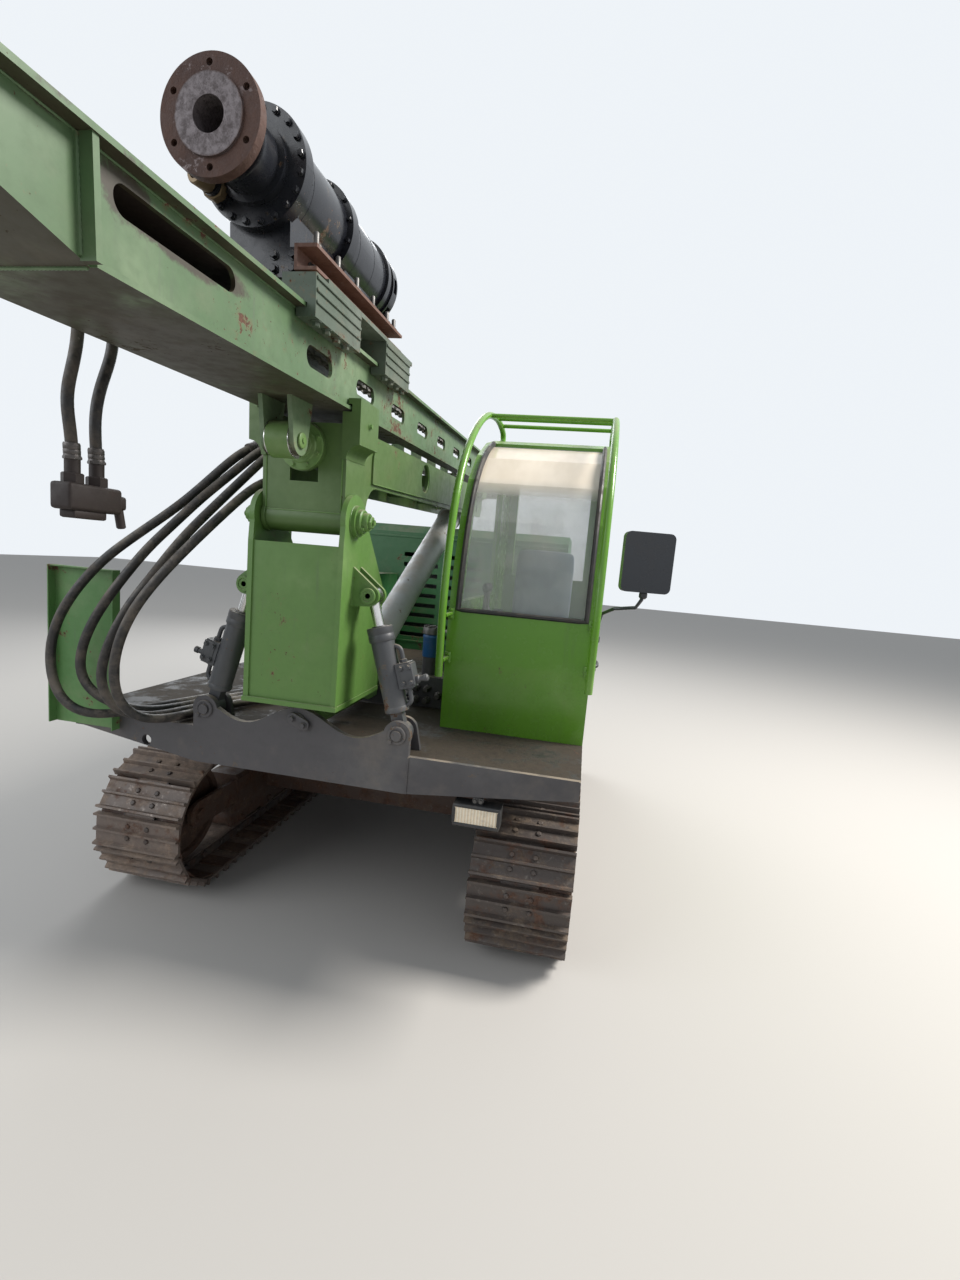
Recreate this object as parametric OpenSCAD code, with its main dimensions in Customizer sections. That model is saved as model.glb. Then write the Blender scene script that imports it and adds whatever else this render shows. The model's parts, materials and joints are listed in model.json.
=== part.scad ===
// Crawler-mounted rotary piling rig, parked with its mast laid level over the machine.
// Millimetres. X runs to the cab side, Y to the rear, Z up, and the ground is Z = 0.
// The sub-parts are written from the machine's datum: X = 0 is the plane midway between the
// tracks and Y = 0 their front. The mast, its cradle and the drive head are written in the
// mast's own frame, whose origin is the raising pin, and are laid down by in_mast_frame().
// The part is drawn by about_middle(), which puts the middle of its whole box on the origin.

/* [Tracks] */
// Width over both tracks
track_overall_w = 2300; // [2200:10:2500]
// Length of a track over its shoes
track_length = 3000; // [2800:50:3400]
// Height of a track over its shoes
track_height = 680; // [640:10:720]
// Width of a track shoe
shoe_w = 450; // [400:10:500]
// Number of shoes in one track
shoe_count = 40; // [38:1:42]
// Thickness of a shoe plate
shoe_t = 14; // [10:1:18]
// Height of the grouser bars above the shoe plate
grouser_h = 22; // [16:1:26]
// Gap between neighbouring shoes
shoe_gap = 8; // [5:1:12]
// Width of the link chain inside a track
link_w = 150; // [120:10:180]
// Depth of the link chain below the shoes
link_depth = 58; // [50:1:66]

/* [Undercarriage] */
// Width of the welded side frame inside a track
side_frame_w = 240; // [200:10:260]
// Height of the side frame's box
side_frame_h = 270; // [240:10:300]
// Radius of a track roller
roller_r = 62; // [56:1:68]
// Radius of the slewing ring
slew_ring_r = 470; // [440:10:500]
// Place of the slewing axis along Y
slew_y = 1550; // [1500:10:1600]

/* [Platform] */
// Height of the deck's top face
deck_z = 1020; // [1010:1:1040]
// Thickness of the deck plate
deck_t = 12; // [8:1:16]
// Front face of the platform's cross plate
cross_y = -215; // [-230:1:-200]
// Thickness of the cross plate
cross_t = 25; // [20:1:30]
// Left end of the platform
platform_left = -1050; // [-1100:10:-1000]
// Right end of the platform
platform_right = 1125; // [1120:5:1150]
// Rear end of the platform
platform_rear = 3150; // [3100:10:3200]
// Depth of the platform frame below the deck's top face
frame_depth = 150; // [130:5:160]

/* [Column] */
// Width of the tilting column
column_w = 380; // [360:5:400]
// Thickness of the column's side plates
column_wall = 20; // [16:1:25]
// Front face of the column
column_front_y = -300; // [-320:5:-280]
// Height of the column's bottom edge
column_bottom_z = 1185; // [1180:1:1195]
// Height of the front plate's top edge
column_top_z = 1800; // [1780:5:1820]
// Height of the longitudinal tilt axis
tilt_z = 1100; // [1095:1:1105]
// Depth of the column's side plates at the bottom
column_depth = 445; // [420:5:460]

/* [Side tilt cylinders] */
// Distance of the lower pin from the centre plane
tilt_low_x = 412; // [400:1:420]
// Distance of the upper pin from the centre plane
tilt_high_x = 258; // [252:1:262]
// Height of the upper pin
tilt_high_z = 1625; // [1615:1:1635]
// Radius of the barrel
tilt_barrel_r = 46; // [42:1:48]
// Radius of the rod
tilt_rod_r = 21; // [18:1:24]
// Plane in which the side cylinders work
tilt_plane_y = -155; // [-158:1:-152]

/* [Mast pivot] */
// Place of the raising pin along Y
pin_y = -200; // [-210:1:-190]
// Height of the raising pin
pin_z = 1900; // [1890:1:1910]
// Angle at which the parked mast rises to the rear
mast_tilt = 2.5; // [0:0.5:4]
// Radius of the raising pin
raise_pin_r = 32; // [28:1:34]

/* [Cradle] */
// Width over the cradle's side plates
cradle_w = 330; // [320:2:336]
// Thickness of the cradle's side plates
cradle_wall = 16; // [12:1:18]
// Height of the cradle beam's lower edge over the raising pin
beam_low = 140; // [130:2:150]
// Height of the cradle beam's upper edge over the raising pin
beam_high = 342; // [336:1:346]
// Rear end of the cradle beam behind the raising pin
beam_rear = 2640; // [2600:10:2700]
// Radius of the round hole in each side plate
beam_hole_r = 74; // [66:1:78]

/* [Raising cylinder] */
// Place of the lower pin along Y
raise_low_y = 420; // [410:5:430]
// Height of the lower pin
raise_low_z = 1200; // [1190:2:1210]
// Distance of the upper pin behind the raising pin
raise_high_y = 2430; // [2420:5:2440]
// Height of the upper pin over the raising pin
raise_high_z = 190; // [180:2:200]
// Radius of the barrel
raise_barrel_r = 80; // [74:1:84]
// Radius of the rod
raise_rod_r = 45; // [40:1:50]

/* [Mast] */
// Width over the mast's side plates
mast_w = 330; // [320:2:340]
// Height of the mast's underside over the raising pin
mast_low = 388; // [384:1:392]
// Height of the top flanges over the raising pin
mast_high = 598; // [592:1:604]
// Width over the top flanges
flange_w = 400; // [390:2:410]
// Thickness of the top flanges
flange_t = 12; // [10:1:14]
// Thickness of the mast's side plates
mast_wall = 12; // [8:1:14]
// Front end of the mast before the raising pin
mast_foot = 1550; // [1500:10:1580]
// Rear end of the mast behind the raising pin
mast_head_end = 4300; // [4200:10:4400]
// Spacing of the lightening slots
slot_pitch = 385; // [375:5:395]
// Length of a lightening slot
slot_len = 180; // [160:5:200]
// Width of a lightening slot
slot_w = 64; // [56:2:70]

/* [Drive head] */
// Height of the head's axis over the raising pin
head_axis = 981; // [970:1:990]
// Front face of the output flange, before the raising pin
flange_face = 602; // [590:2:610]
// Radius of the output flange
out_flange_r = 142; // [136:1:146]
// Radius of the bore through the output flange
out_bore_r = 44; // [40:1:48]
// Radius of the head's main barrel
barrel_r = 140; // [130:1:146]
// Radius of the head's bolted rings
ring_r = 163; // [156:1:168]

/* [Cab] */
// Left side of the cab
cab_left = 470; // [465:1:480]
// Right side of the cab
cab_right = 1125; // [1115:1:1130]
// Front of the cab
cab_front = 250; // [240:5:260]
// Rear of the cab
cab_rear = 1680; // [1650:5:1700]
// Height of the roof
cab_top_z = 2520; // [2500:5:2540]
// Thickness of the cab's walls
cab_wall = 38; // [32:1:42]

/* [Engine housing] */
// Front face of the engine housing
housing_front = 2350; // [2340:5:2370]
// Height of the housing's top
housing_top_z = 2040; // [2000:5:2050]

/* [Hidden] */

// Facets of a true circle; every round face is exact whatever this is.
$fn = 48;
clear = 0.3;
pin_clear = 0.5;

// Frames and plain shapes

module in_mast_frame() {
    translate([0, pin_y, pin_z]) rotate([mast_tilt, 0, 0]) children();
}

// The datum moved so that the whole part's box is centred on the origin in X and Y.
module about_middle() {
    translate([-(box_right + box_left) / 2, -(box_rear_end + box_front_end) / 2, 0]) children();
}

// A block between two corners.
module block(a, b) {
    translate(a) cube(b - a);
}

// A flat outline in Y and Z, extruded from x0 to x1.
module plate_yz(x0, x1) {
    translate([x0, 0, 0]) rotate([90, 0, 90]) linear_extrude(x1 - x0) children();
}

// A flat outline in X and Z, extruded from y0 to y1.
module plate_xz(y0, y1) {
    translate([0, y1, 0]) rotate([90, 0, 0]) linear_extrude(y1 - y0) children();
}

// Round bars along each axis, from one end to the other.
module bar_x(r, x0, x1, y, z) {
    translate([x0, y, z]) rotate([0, 90, 0]) cylinder(r = r, h = x1 - x0);
}

module bar_y(r, y0, y1, x, z) {
    translate([x, y0, z]) rotate([-90, 0, 0]) cylinder(r = r, h = y1 - y0);
}

module bar_z(r, z0, z1, x, y) {
    translate([x, y, z0]) cylinder(r = r, h = z1 - z0);
}

// A tube of n sides that follows a list of points. The ring at each point stands square to the
// way there, and is carried on from the ring before without a twist.
function way_at(p, i) =
    let (d = p[min(i + 1, len(p) - 1)] - p[max(i - 1, 0)]) d / norm(d);

function carried(p, i, side) = i == len(p) ? [] :
    let (w = way_at(p, i), s = side - (side * w) * w, u = s / norm(s)) concat([u], carried(p, i + 1, u));

module tube_along(p, r, n = 8, side = [0.3, 0.9, 0.31]) {
    u = carried(p, 0, side);
    last = (len(p) - 1) * n;
    polyhedron(
        points = [for (i = [0:len(p) - 1], k = [0:n - 1])
            p[i] + r * (cos(k * 360 / n) * u[i] + sin(k * 360 / n) * cross(way_at(p, i), u[i]))],
        faces = concat([[for (k = [0:n - 1]) k]], [[for (k = [0:n - 1]) last + n - 1 - k]],
            [for (i = [0:len(p) - 2], k = [0:n - 1]) [i * n + k, (i + 1) * n + k, i * n + (k + 1) % n]],
            [for (i = [0:len(p) - 2], k = [0:n - 1])
                [i * n + (k + 1) % n, (i + 1) * n + k, (i + 1) * n + (k + 1) % n]]));
}

module both_sides() {
    children();
    mirror([1, 0, 0]) children();
}

// Tracks

track_r = track_height / 2;
path_r = track_r - grouser_h - shoe_t;
straight = track_length - 2 * track_r;
path_len = 2 * straight + 2 * PI * path_r;
shoe_pitch = path_len / shoe_count;
track_in_x = track_overall_w / 2 - shoe_w;
track_mid_x = track_overall_w / 2 - shoe_w / 2;
axle_front_y = track_r;
axle_rear_y = track_length - track_r;
link_over = 6;
shoe_step = shoe_pitch / path_r * 180 / PI;
half_turn = PI * path_r;

// A point of the shoe path at distance s, as [y, z, heading in degrees], running rearwards
// along the ground first.
function on_path(s) =
    s < straight ? [axle_front_y + s, track_r - path_r, 0]
    : s < straight + half_turn ? arc_point(axle_rear_y, (s - straight) / path_r * 180 / PI, 0)
    : s < 2 * straight + half_turn ? [axle_rear_y - (s - straight - half_turn), track_r + path_r, 180]
    : arc_point(axle_front_y, (s - 2 * straight - half_turn) / path_r * 180 / PI, 180);

function arc_point(y, a, start) =
    [y + path_r * sin(a + start), track_r - path_r * cos(a + start), a + start];

// A point at along and outward from the path point p.
function off_path(p, along, outward) =
    [p[0] + along * cos(p[2]) + outward * sin(p[2]), p[1] + along * sin(p[2]) - outward * cos(p[2])];

// One shoe's section: plate and three grouser bars.
function shoe_outline(p) =
    let (a = (shoe_pitch - shoe_gap) / 2, t = shoe_t, g = shoe_t + grouser_h)
    [for (q = [[-a, 0], [-a, g], [-a + 10, g], [-a + 18, t], [-9, t], [-5, g], [5, g], [9, t],
               [a - 18, t], [a - 10, g], [a, g], [a, 0]])
        off_path(p, q[0], q[1])];

// The link chain's corner between two shoes, midway between the ends of their inner lines.
function link_corner(k, outward) =
    (off_path(on_path(k * shoe_pitch), shoe_pitch / 2, outward)
    + off_path(on_path((k + 1) % shoe_count * shoe_pitch), -shoe_pitch / 2, outward)) / 2;

function link_outline(outward) = [for (k = [0:shoe_count - 1]) link_corner(k, outward)];

module track() {
    for (k = [0:shoe_count - 1])
        plate_yz(track_in_x, track_in_x + shoe_w) polygon(shoe_outline(on_path(k * shoe_pitch)));
    plate_yz(track_mid_x - link_w / 2, track_mid_x + link_w / 2) difference() {
        polygon(link_outline(link_over));
        polygon(link_outline(-link_depth));
    }
}

module track_right() {
    color("dimgray") track();
}

module track_left() {
    color("dimgray") mirror([1, 0, 0]) track();
}

// Side frames, rollers and wheels

frame_mid_z = track_r;
frame_x0 = track_mid_x - side_frame_w / 2;
frame_x1 = track_mid_x + side_frame_w / 2;
frame_y0 = axle_front_y + 330;
frame_y1 = axle_rear_y - 330;
link_in_r = path_r - link_depth;
link_corner_angle = atan2(shoe_pitch / 2, link_in_r);
wheel_gap = 3;
wheel_r = norm([link_in_r, shoe_pitch / 2]) * cos(link_corner_angle - shoe_step / 2) * cos(shoe_step / 2)
    - wheel_gap;
roller_z = track_r - path_r + link_depth + clear + roller_r;
top_roller_r = 45;
top_roller_z = track_r + path_r - link_depth - clear - top_roller_r;
axle_r = 30;
wheel_w = 90;
roller_w = 170;
yoke_t = 22;

module side_frame() {
    z0 = frame_mid_z - side_frame_h / 2;
    z1 = frame_mid_z + side_frame_h / 2 - 40;
    difference() {
        union() {
            // Main box, its top sloped to shed mud.
            plate_xz(frame_y0, frame_y1) polygon([[frame_x0, z0 + 50], [frame_x1, z0 + 50],
                [frame_x1, z1 - 50], [frame_x1 - 50, z1], [frame_x0 + 20, z1], [frame_x0, z1 - 20]]);
            // Fork cheeks that carry the idler's and the sprocket's axles.
            for (x = [track_mid_x - roller_w / 2 - yoke_t, track_mid_x + roller_w / 2])
                plate_yz(x, x + yoke_t) hull() {
                    translate([axle_front_y, frame_mid_z]) circle(r = 70);
                    translate([axle_rear_y, frame_mid_z]) circle(r = 70);
                }
            // Plates that carry the lower rollers' axles.
            for (x = [track_mid_x - roller_w / 2 - yoke_t, track_mid_x + roller_w / 2])
                block([x, frame_y0 - 40, roller_z - 20], [x + yoke_t, frame_y1 + 40, z0 + 60]);
            // Posts of the upper rollers.
            for (y = top_roller_y)
                block([track_mid_x - 25, y - 30, z1 - 10],
                    [track_mid_x + 25, y + 30, top_roller_z - top_roller_r - 10]);
        }
        for (y = [axle_front_y, axle_rear_y])
            bar_x(axle_r + clear, frame_x0 - 50, frame_x1 + 50, y, frame_mid_z);
        for (y = roller_ys)
            bar_x(18 + clear, frame_x0 - 50, frame_x1 + 50, y, roller_z);
    }
}

lower_rollers = 6;
roller_first_y = frame_y0 + 60;
roller_ys = [for (i = [0:lower_rollers - 1])
    roller_first_y + i * (frame_y1 - frame_y0 - 120) / (lower_rollers - 1)];
top_roller_y = [track_length * 0.35, track_length * 0.65];

module side_frame_right() {
    color([0.36, 0.2, 0.14]) side_frame();
}

module side_frame_left() {
    color([0.36, 0.2, 0.14]) mirror([1, 0, 0]) side_frame();
}

// A flanged lower roller on its axle.
module lower_roller(y) {
    x0 = track_mid_x - roller_w / 2 + 3;
    x1 = track_mid_x + roller_w / 2 - 3;
    bar_x(18, frame_x0 - 5, frame_x1 + 5, y, roller_z);
    bar_x(roller_r, x0, x1, y, roller_z);
}

module sprocket(y) {
    teeth = 11;
    plate_yz(track_mid_x - 20, track_mid_x + 20) translate([y, frame_mid_z]) difference() {
        circle(r = wheel_r);
        for (k = [0:teeth - 1]) rotate(k * 360 / teeth) translate([wheel_r + 10, 0]) circle(r = 26);
    }
}

module rollers() {
    for (y = roller_ys) lower_roller(y);
    for (y = top_roller_y) {
        bar_x(top_roller_r, track_mid_x - 60, track_mid_x - 30, y, top_roller_z);
        bar_x(top_roller_r, track_mid_x + 30, track_mid_x + 60, y, top_roller_z);
        bar_x(14, track_mid_x - 60, track_mid_x + 60, y, top_roller_z);
    }
    // Idler at the front, with a raised rim.
    bar_x(axle_r, frame_x0 - 5, frame_x1 + 5, axle_front_y, frame_mid_z);
    difference() {
        bar_x(wheel_r, track_mid_x - wheel_w / 2, track_mid_x + wheel_w / 2, axle_front_y, frame_mid_z);
        for (x = [track_mid_x - wheel_w / 2 - 1, track_mid_x + wheel_w / 2 - 24])
            difference() {
                bar_x(wheel_r - 30, x, x + 25, axle_front_y, frame_mid_z);
                bar_x(65, x, x + 25, axle_front_y, frame_mid_z);
            }
    }
    // Sprocket at the rear, on its drive hub.
    bar_x(axle_r, frame_x0 - 5, frame_x1 + 5, axle_rear_y, frame_mid_z);
    sprocket(axle_rear_y);
    bar_x(110, track_mid_x - 70, track_mid_x + 70, axle_rear_y, frame_mid_z);
}

module rollers_right() {
    color([0.3, 0.25, 0.22]) rollers();
}

module rollers_left() {
    color([0.3, 0.25, 0.22]) mirror([1, 0, 0]) rollers();
}

// Car body between the tracks, with the fixed half of the slewing ring.

ring_turn_top = deck_z - frame_depth;
leg_ys = [slew_y - 430, slew_y + 430];
leg_half = 130;

module car_body() {
    color([0.36, 0.2, 0.14]) {
        block([-slew_ring_r - 30, slew_y - 560, 330], [slew_ring_r + 30, slew_y + 560, 640]);
        for (y = leg_ys)
            plate_xz(y - leg_half, y + leg_half) polygon([[-frame_x0, 260], [frame_x0, 260],
                [frame_x0, 440], [slew_ring_r, 640], [-slew_ring_r, 640], [-frame_x0, 440]]);
        // Fixed half of the slewing ring.
        bar_z(slew_ring_r, 639, ring_turn_top - 60 - clear, 0, slew_y);
    }
}

// Platform: front beam, side beams, deck and the turning half of the slewing ring.

taper_x = 450;
beam_end_depth = 76;
platform_low_z = deck_z - frame_depth;
rear_lug_y = tilt_plane_y + 35;
rear_lug_t = 20;
bearing_y = 500;
bearing_t = 40;

module deck_outline() {
    polygon([[platform_left, cross_y + cross_t], [platform_right, cross_y + cross_t],
        [platform_right, platform_rear - 120], [platform_right - 220, platform_rear],
        [platform_left + 220, platform_rear], [platform_left, platform_rear - 120]]);
}

module platform() {
    color([0.24, 0.26, 0.29]) difference() {
        union() {
            translate([0, 0, deck_z - deck_t]) linear_extrude(deck_t) deck_outline();
            // Side beams, tapered at the ends as the front beam is.
            for (x = [platform_left, platform_right - 60])
                block([x, cross_y + cross_t, deck_z - beam_end_depth],
                    [x + 60, platform_rear - 130, deck_z - deck_t]);
            // Main box of the frame around the slewing ring.
            block([-taper_x, 40, platform_low_z], [taper_x, platform_rear - 200, deck_z - deck_t]);
            block([platform_left + 60, 900, platform_low_z + 40],
                [platform_right - 60, platform_rear - 300, deck_z - deck_t]);
            bar_z(slew_ring_r - 20, ring_turn_top - 60, platform_low_z + 10, 0, slew_y);
        }
        // The frame is open from below between its webs.
        for (p = [[100, 560], [620, 1010], [2090, 2480], [2520, 2890]])
            block([-taper_x + 30, p[0], platform_low_z - 1], [taper_x - 30, p[1], deck_z - deck_t]);
    }
}

// Bearing block at the rear end of the tilt pin, and the rear ears of the side cylinders'
// lower pins, all welded to the deck.
module tilt_brackets() {
    color([0.26, 0.28, 0.31]) {
        plate_xz(bearing_y, bearing_y + bearing_t) difference() {
            polygon([[-130, deck_z + clear], [130, deck_z + clear], [70, tilt_z + 62], [-70, tilt_z + 62]]);
            translate([0, tilt_z]) circle(r = tilt_pin_r + clear);
        }
        for (s = [-1, 1]) plate_xz(rear_lug_y, rear_lug_y + rear_lug_t) difference() {
            hull() {
                translate([s * tilt_low_x, tilt_z]) circle(r = 52);
                translate([s * tilt_low_x - 70, deck_z + clear]) square([140, 1]);
            }
            translate([s * tilt_low_x, tilt_z]) circle(r = low_pin_r + clear);
        }
    }
}

tilt_pin_r = 35;
low_pin_r = 20;
boss_r = 55;
valley_x = 240;
valley_z = 1066;
wave_h = 90;

// The wavy upper edge: a hump over the tilt pin, a valley on each side, then a rise to the
// boss of the side cylinder.
function wave_z(x) = valley_z + wave_h / 2 * (1 + cos(180 * x / valley_x));

module cross_outline() {
    difference() {
        union() {
            polygon(concat(
                [for (i = [-14:14]) let (x = i * tilt_low_x / 14) [x, wave_z(x)]],
                [[tilt_low_x + boss_r - 4, tilt_z], [tilt_low_x + boss_r - 4, deck_z],
                [platform_right, deck_z],
                [platform_right, deck_z - beam_end_depth], [taper_x, platform_low_z],
                [-taper_x, platform_low_z],
                [platform_left, deck_z - beam_end_depth + 20], [platform_left, deck_z],
                [-tilt_low_x - boss_r + 4, deck_z], [-tilt_low_x - boss_r + 4, tilt_z]]));
            for (s = [-1, 1]) translate([s * tilt_low_x, tilt_z]) circle(r = boss_r);
        }
        translate([-680, deck_z - 90]) circle(r = 22);
    }
}

module cross_plate() {
    color([0.26, 0.28, 0.31]) difference() {
        plate_xz(cross_y, cross_y + cross_t) cross_outline();
        bar_y(tilt_pin_r + clear, cross_y - 1, cross_y + cross_t + 1, 0, tilt_z);
        for (s = [-1, 1])
            bar_y(low_pin_r + clear, cross_y - 1, cross_y + cross_t + 1, s * tilt_low_x, tilt_z);
    }
}

// The tilt pin and the side cylinders' lower pins, each with its head and keeper in front.
module tilt_pins() {
    color([0.3, 0.31, 0.33]) {
        bar_y(tilt_pin_r, cross_y - 8, bearing_y + bearing_t + 8, 0, tilt_z);
        for (s = [-1, 1])
            bar_y(low_pin_r, cross_y - 14, rear_lug_y + rear_lug_t + 6, s * tilt_low_x, tilt_z);
    }
}

// Work lamp under the front beam, on a short bracket.
lamp_x = 750;
lamp_size = [184, 62, 83];
lamp_top = 873;

// Height of the front beam's lower edge, which rises to both ends.
function beam_low_edge(x) = platform_low_z + (x - taper_x) / (platform_right - taper_x)
    * (frame_depth - beam_end_depth);

module work_lamp() {
    color("black") {
        block([lamp_x - lamp_size[0] / 2, cross_y - 12, lamp_top - lamp_size[2]],
            [lamp_x + lamp_size[0] / 2, cross_y - 12 + lamp_size[1], lamp_top]);
        block([lamp_x - 20, cross_y + 2, lamp_top - 1],
            [lamp_x + 20, cross_y + 22, beam_low_edge(lamp_x - 20) - clear]);
    }
}

// Cab

door_front = cab_front + 130;
door_rear = cab_front + 980;
door_gap = 5;
door_top_r = 420;
sill_z = deck_z + 60;
screen_low_z = 1565;
glass_t = 6;

// The cab seen from the side, from the floor up: the front leans back into the roof as one curve.
front_profile = [[0, 0], [-8, 320], [0, 550], [30, 760], [88, 970], [190, 1150], [350, 1290],
    [560, 1390], [800, 1452], [1080, 1490], [1430, 1500]];

cab_ref_h = 1500;

// Height of a place on the cab that stands h above the deck on a cab 1500 high.
function cab_z(h) = deck_z + h * (cab_top_z - deck_z) / cab_ref_h;

function cab_side(inset) = concat(
    [for (p = front_profile) cab_profile_point(p, inset)],
    [[cab_rear - inset, deck_z + inset]]);

function cab_profile_point(p, inset) =
    [min(cab_front + p[0] * (cab_rear - cab_front) / 1430 + inset, cab_rear - inset),
     max(cab_z(p[1]) - (p[0] > 40 ? inset : 0), deck_z + inset)];

module cab_solid(inset) {
    plate_yz(cab_left + inset, cab_right - inset) polygon(cab_side(inset));
}

// The outline of the door: its top is round, its front follows the windscreen post.
module door_outline(grow) {
    offset(delta = grow) polygon([[door_front, sill_z], [door_rear, sill_z],
        [door_rear, cab_z(1170)], [door_rear - 90, cab_z(1310)], [door_rear - 260, cab_z(1370)],
        [door_rear - 430, cab_z(1340)], [door_rear - 600, cab_z(1210)],
        [door_front + 90, cab_z(1000)], [door_front + 20, cab_z(740)]]);
}

module door_window_outline() {
    polygon([[door_front + 80, cab_z(620)], [door_front + 250, cab_z(400)], [door_rear - 60, cab_z(400)],
        [door_rear - 60, cab_z(1150)], [door_rear - 130, cab_z(1250)],
        [door_rear - 270, cab_z(1305)], [door_rear - 410, cab_z(1280)],
        [door_rear - 550, cab_z(1170)], [door_front + 150, cab_z(980)]]);
}

module screen_cut() {
    block([cab_left + 40, cab_front - 50, screen_low_z], [cab_right - 40, cab_front + 560, cab_top_z + 50]);
}

module side_window_outline() {
    polygon([[cab_front + 110, cab_z(580)], [cab_rear - 380, cab_z(580)], [cab_rear - 380, cab_z(1310)],
        [cab_front + 520, cab_z(1280)], [cab_front + 220, cab_z(1080)]]);
}

module quarter_window_outline() {
    polygon([[door_rear + 70, cab_z(580)], [cab_rear - 80, cab_z(580)], [cab_rear - 80, cab_z(1370)],
        [door_rear + 70, cab_z(1350)]]);
}

module rear_window_cut() {
    block([cab_left + 90, cab_rear - 100, cab_z(700)], [cab_right - 90, cab_rear + 50, cab_z(1340)]);
}

// Door hinges: each has a knuckle and pin on the cab and a knuckle on the door above it.
hinge_x = cab_right + 14;
hinge_y = door_rear + door_gap;
hinge_zs = [1240, 2080];
hinge_r = 11;
hinge_pin_r = 7;
knuckle_h = 40;

module cab_shell() {
    color([0.3, 0.62, 0.16]) {
        difference() {
            cab_solid(0);
            cab_solid(cab_wall);
            screen_cut();
            plate_yz(cab_right - cab_wall - 20, cab_right + 20) door_outline(door_gap);
            plate_yz(cab_left - 20, cab_left + cab_wall + 20) side_window_outline();
            plate_yz(cab_right - cab_wall - 20, cab_right + 20) quarter_window_outline();
            rear_window_cut();
        }
        for (z = hinge_zs) {
            bar_z(hinge_r, z, z + knuckle_h, hinge_x, hinge_y);
            block([cab_right - 1, hinge_y + 3, z], [hinge_x + 6, hinge_y + 50, z + knuckle_h]);
            bar_z(hinge_pin_r, z, z + 2 * knuckle_h, hinge_x, hinge_y);
        }
    }
}

module windscreen() {
    intersection() {
        difference() {
            cab_solid(10);
            cab_solid(10 + glass_t);
        }
        block([cab_left + 40 + clear, cab_front - 50, screen_low_z + clear],
            [cab_right - 40 - clear, cab_front + 560 - clear, cab_top_z + 50]);
    }
}

module cab_glass() {
    color([0.8, 0.85, 0.85, 0.4]) {
        windscreen();
        plate_yz(cab_left + 14, cab_left + 14 + glass_t) offset(delta = -clear) side_window_outline();
        plate_yz(cab_right - 20, cab_right - 20 + glass_t) offset(delta = -clear) quarter_window_outline();
        block([cab_left + 90 + clear, cab_rear - 20, cab_z(700) + clear],
            [cab_right - 90 - clear, cab_rear - 20 + glass_t, cab_z(1340) - clear]);
    }
}

module cab_door() {
    color([0.3, 0.62, 0.16]) {
        difference() {
            union() {
                plate_yz(cab_right - cab_wall, cab_right) door_outline(0);
                for (z = hinge_zs) {
                    bar_z(hinge_r, z + knuckle_h + clear, z + 2 * knuckle_h, hinge_x, hinge_y);
                    block([cab_right - 1, hinge_y - 55, z + knuckle_h + clear],
                        [hinge_x + 6, hinge_y - 3, z + 2 * knuckle_h]);
                }
            }
            plate_yz(cab_right - cab_wall - 1, cab_right + 1) door_window_outline();
            for (z = hinge_zs) bar_z(hinge_pin_r + clear, z, z + 2 * knuckle_h + 1, hinge_x, hinge_y);
        }
        // Handle at the front, below the window.
        block([cab_right - 1, door_front + 60, 1330], [cab_right + 22, door_front + 90, 1345]);
        block([cab_right - 1, door_front + 190, 1330], [cab_right + 22, door_front + 220, 1345]);
        block([cab_right + 14, door_front + 60, 1330], [cab_right + 26, door_front + 220, 1345]);
    }
}

module door_glass() {
    color([0.8, 0.85, 0.85, 0.4])
        plate_yz(cab_right - 22, cab_right - 22 + glass_t) offset(delta = -clear) door_window_outline();
}

// Guard hoops of bent tube: up each front edge, over the roof and down on to it.
hoop_r = 17;
hoop_points = [[-112, 260], [-128, 560], [-100, 830], [-22, 1085], [130, 1290], [340, 1440],
    [560, 1530], [800, 1572], [960, 1570], [1050, 1552], [1075, 1528], [1075, 1492]];

module cab_roof_guard() {
    color([0.3, 0.62, 0.16]) {
        for (x = [cab_left + 2, cab_right - 2])
            tube_along([for (p = hoop_points) [x, cab_front + p[0], cab_z(p[1])]], hoop_r, 10);
        for (x = [cab_left + 2, cab_right - 2]) {
            bar_y(9, cab_front - 108, cab_front - 8 - clear, x + (x < cab_mid_x ? 12 : -12), cab_z(330));
            bar_y(9, cab_front - 120, cab_front - 4 - clear, x + (x < cab_mid_x ? 12 : -12), cab_z(530));
        }
        for (p = [hoop_points[6], hoop_points[7], hoop_points[8]])
            bar_x(11, cab_left + 2, cab_right - 2, cab_front + p[0], cab_z(p[1]));
    }
}

// Seat and console inside the cab

cab_mid_x = (cab_left + cab_right) / 2;

module seat() {
    color([0.25, 0.3, 0.4]) {
        block([cab_mid_x - 120, cab_front + 720, deck_z + cab_wall + clear],
            [cab_mid_x + 120, cab_front + 1060, 1330]);
        block([cab_mid_x - 225, cab_front + 640, 1325], [cab_mid_x + 225, cab_front + 1120, 1440]);
        translate([0, cab_front + 1060, 1400]) rotate([-8, 0, 0])
            block([cab_mid_x - 215, 0, 0], [cab_mid_x + 215, 100, 560]);
    }
}

module console() {
    color([0.15, 0.15, 0.16]) {
        block([cab_left + cab_wall + clear, cab_front + 480, deck_z + cab_wall + clear],
            [cab_mid_x - 240, cab_front + 1150, 1500]);
        bar_z(9, 1490, 1640, cab_left + 65, cab_front + 560);
        bar_z(9, 1490, 1640, cab_left + 65, cab_front + 660);
        block([cab_mid_x - 150, cab_front + 110, deck_z + cab_wall + clear],
            [cab_mid_x + 150, cab_front + 200, 1240]);
    }
}

// Mirror on its bent arm at the cab's front right post
mirror_x = cab_right + 178;
mirror_turn = 12;
mirror_size = [208, 40, 248];

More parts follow.
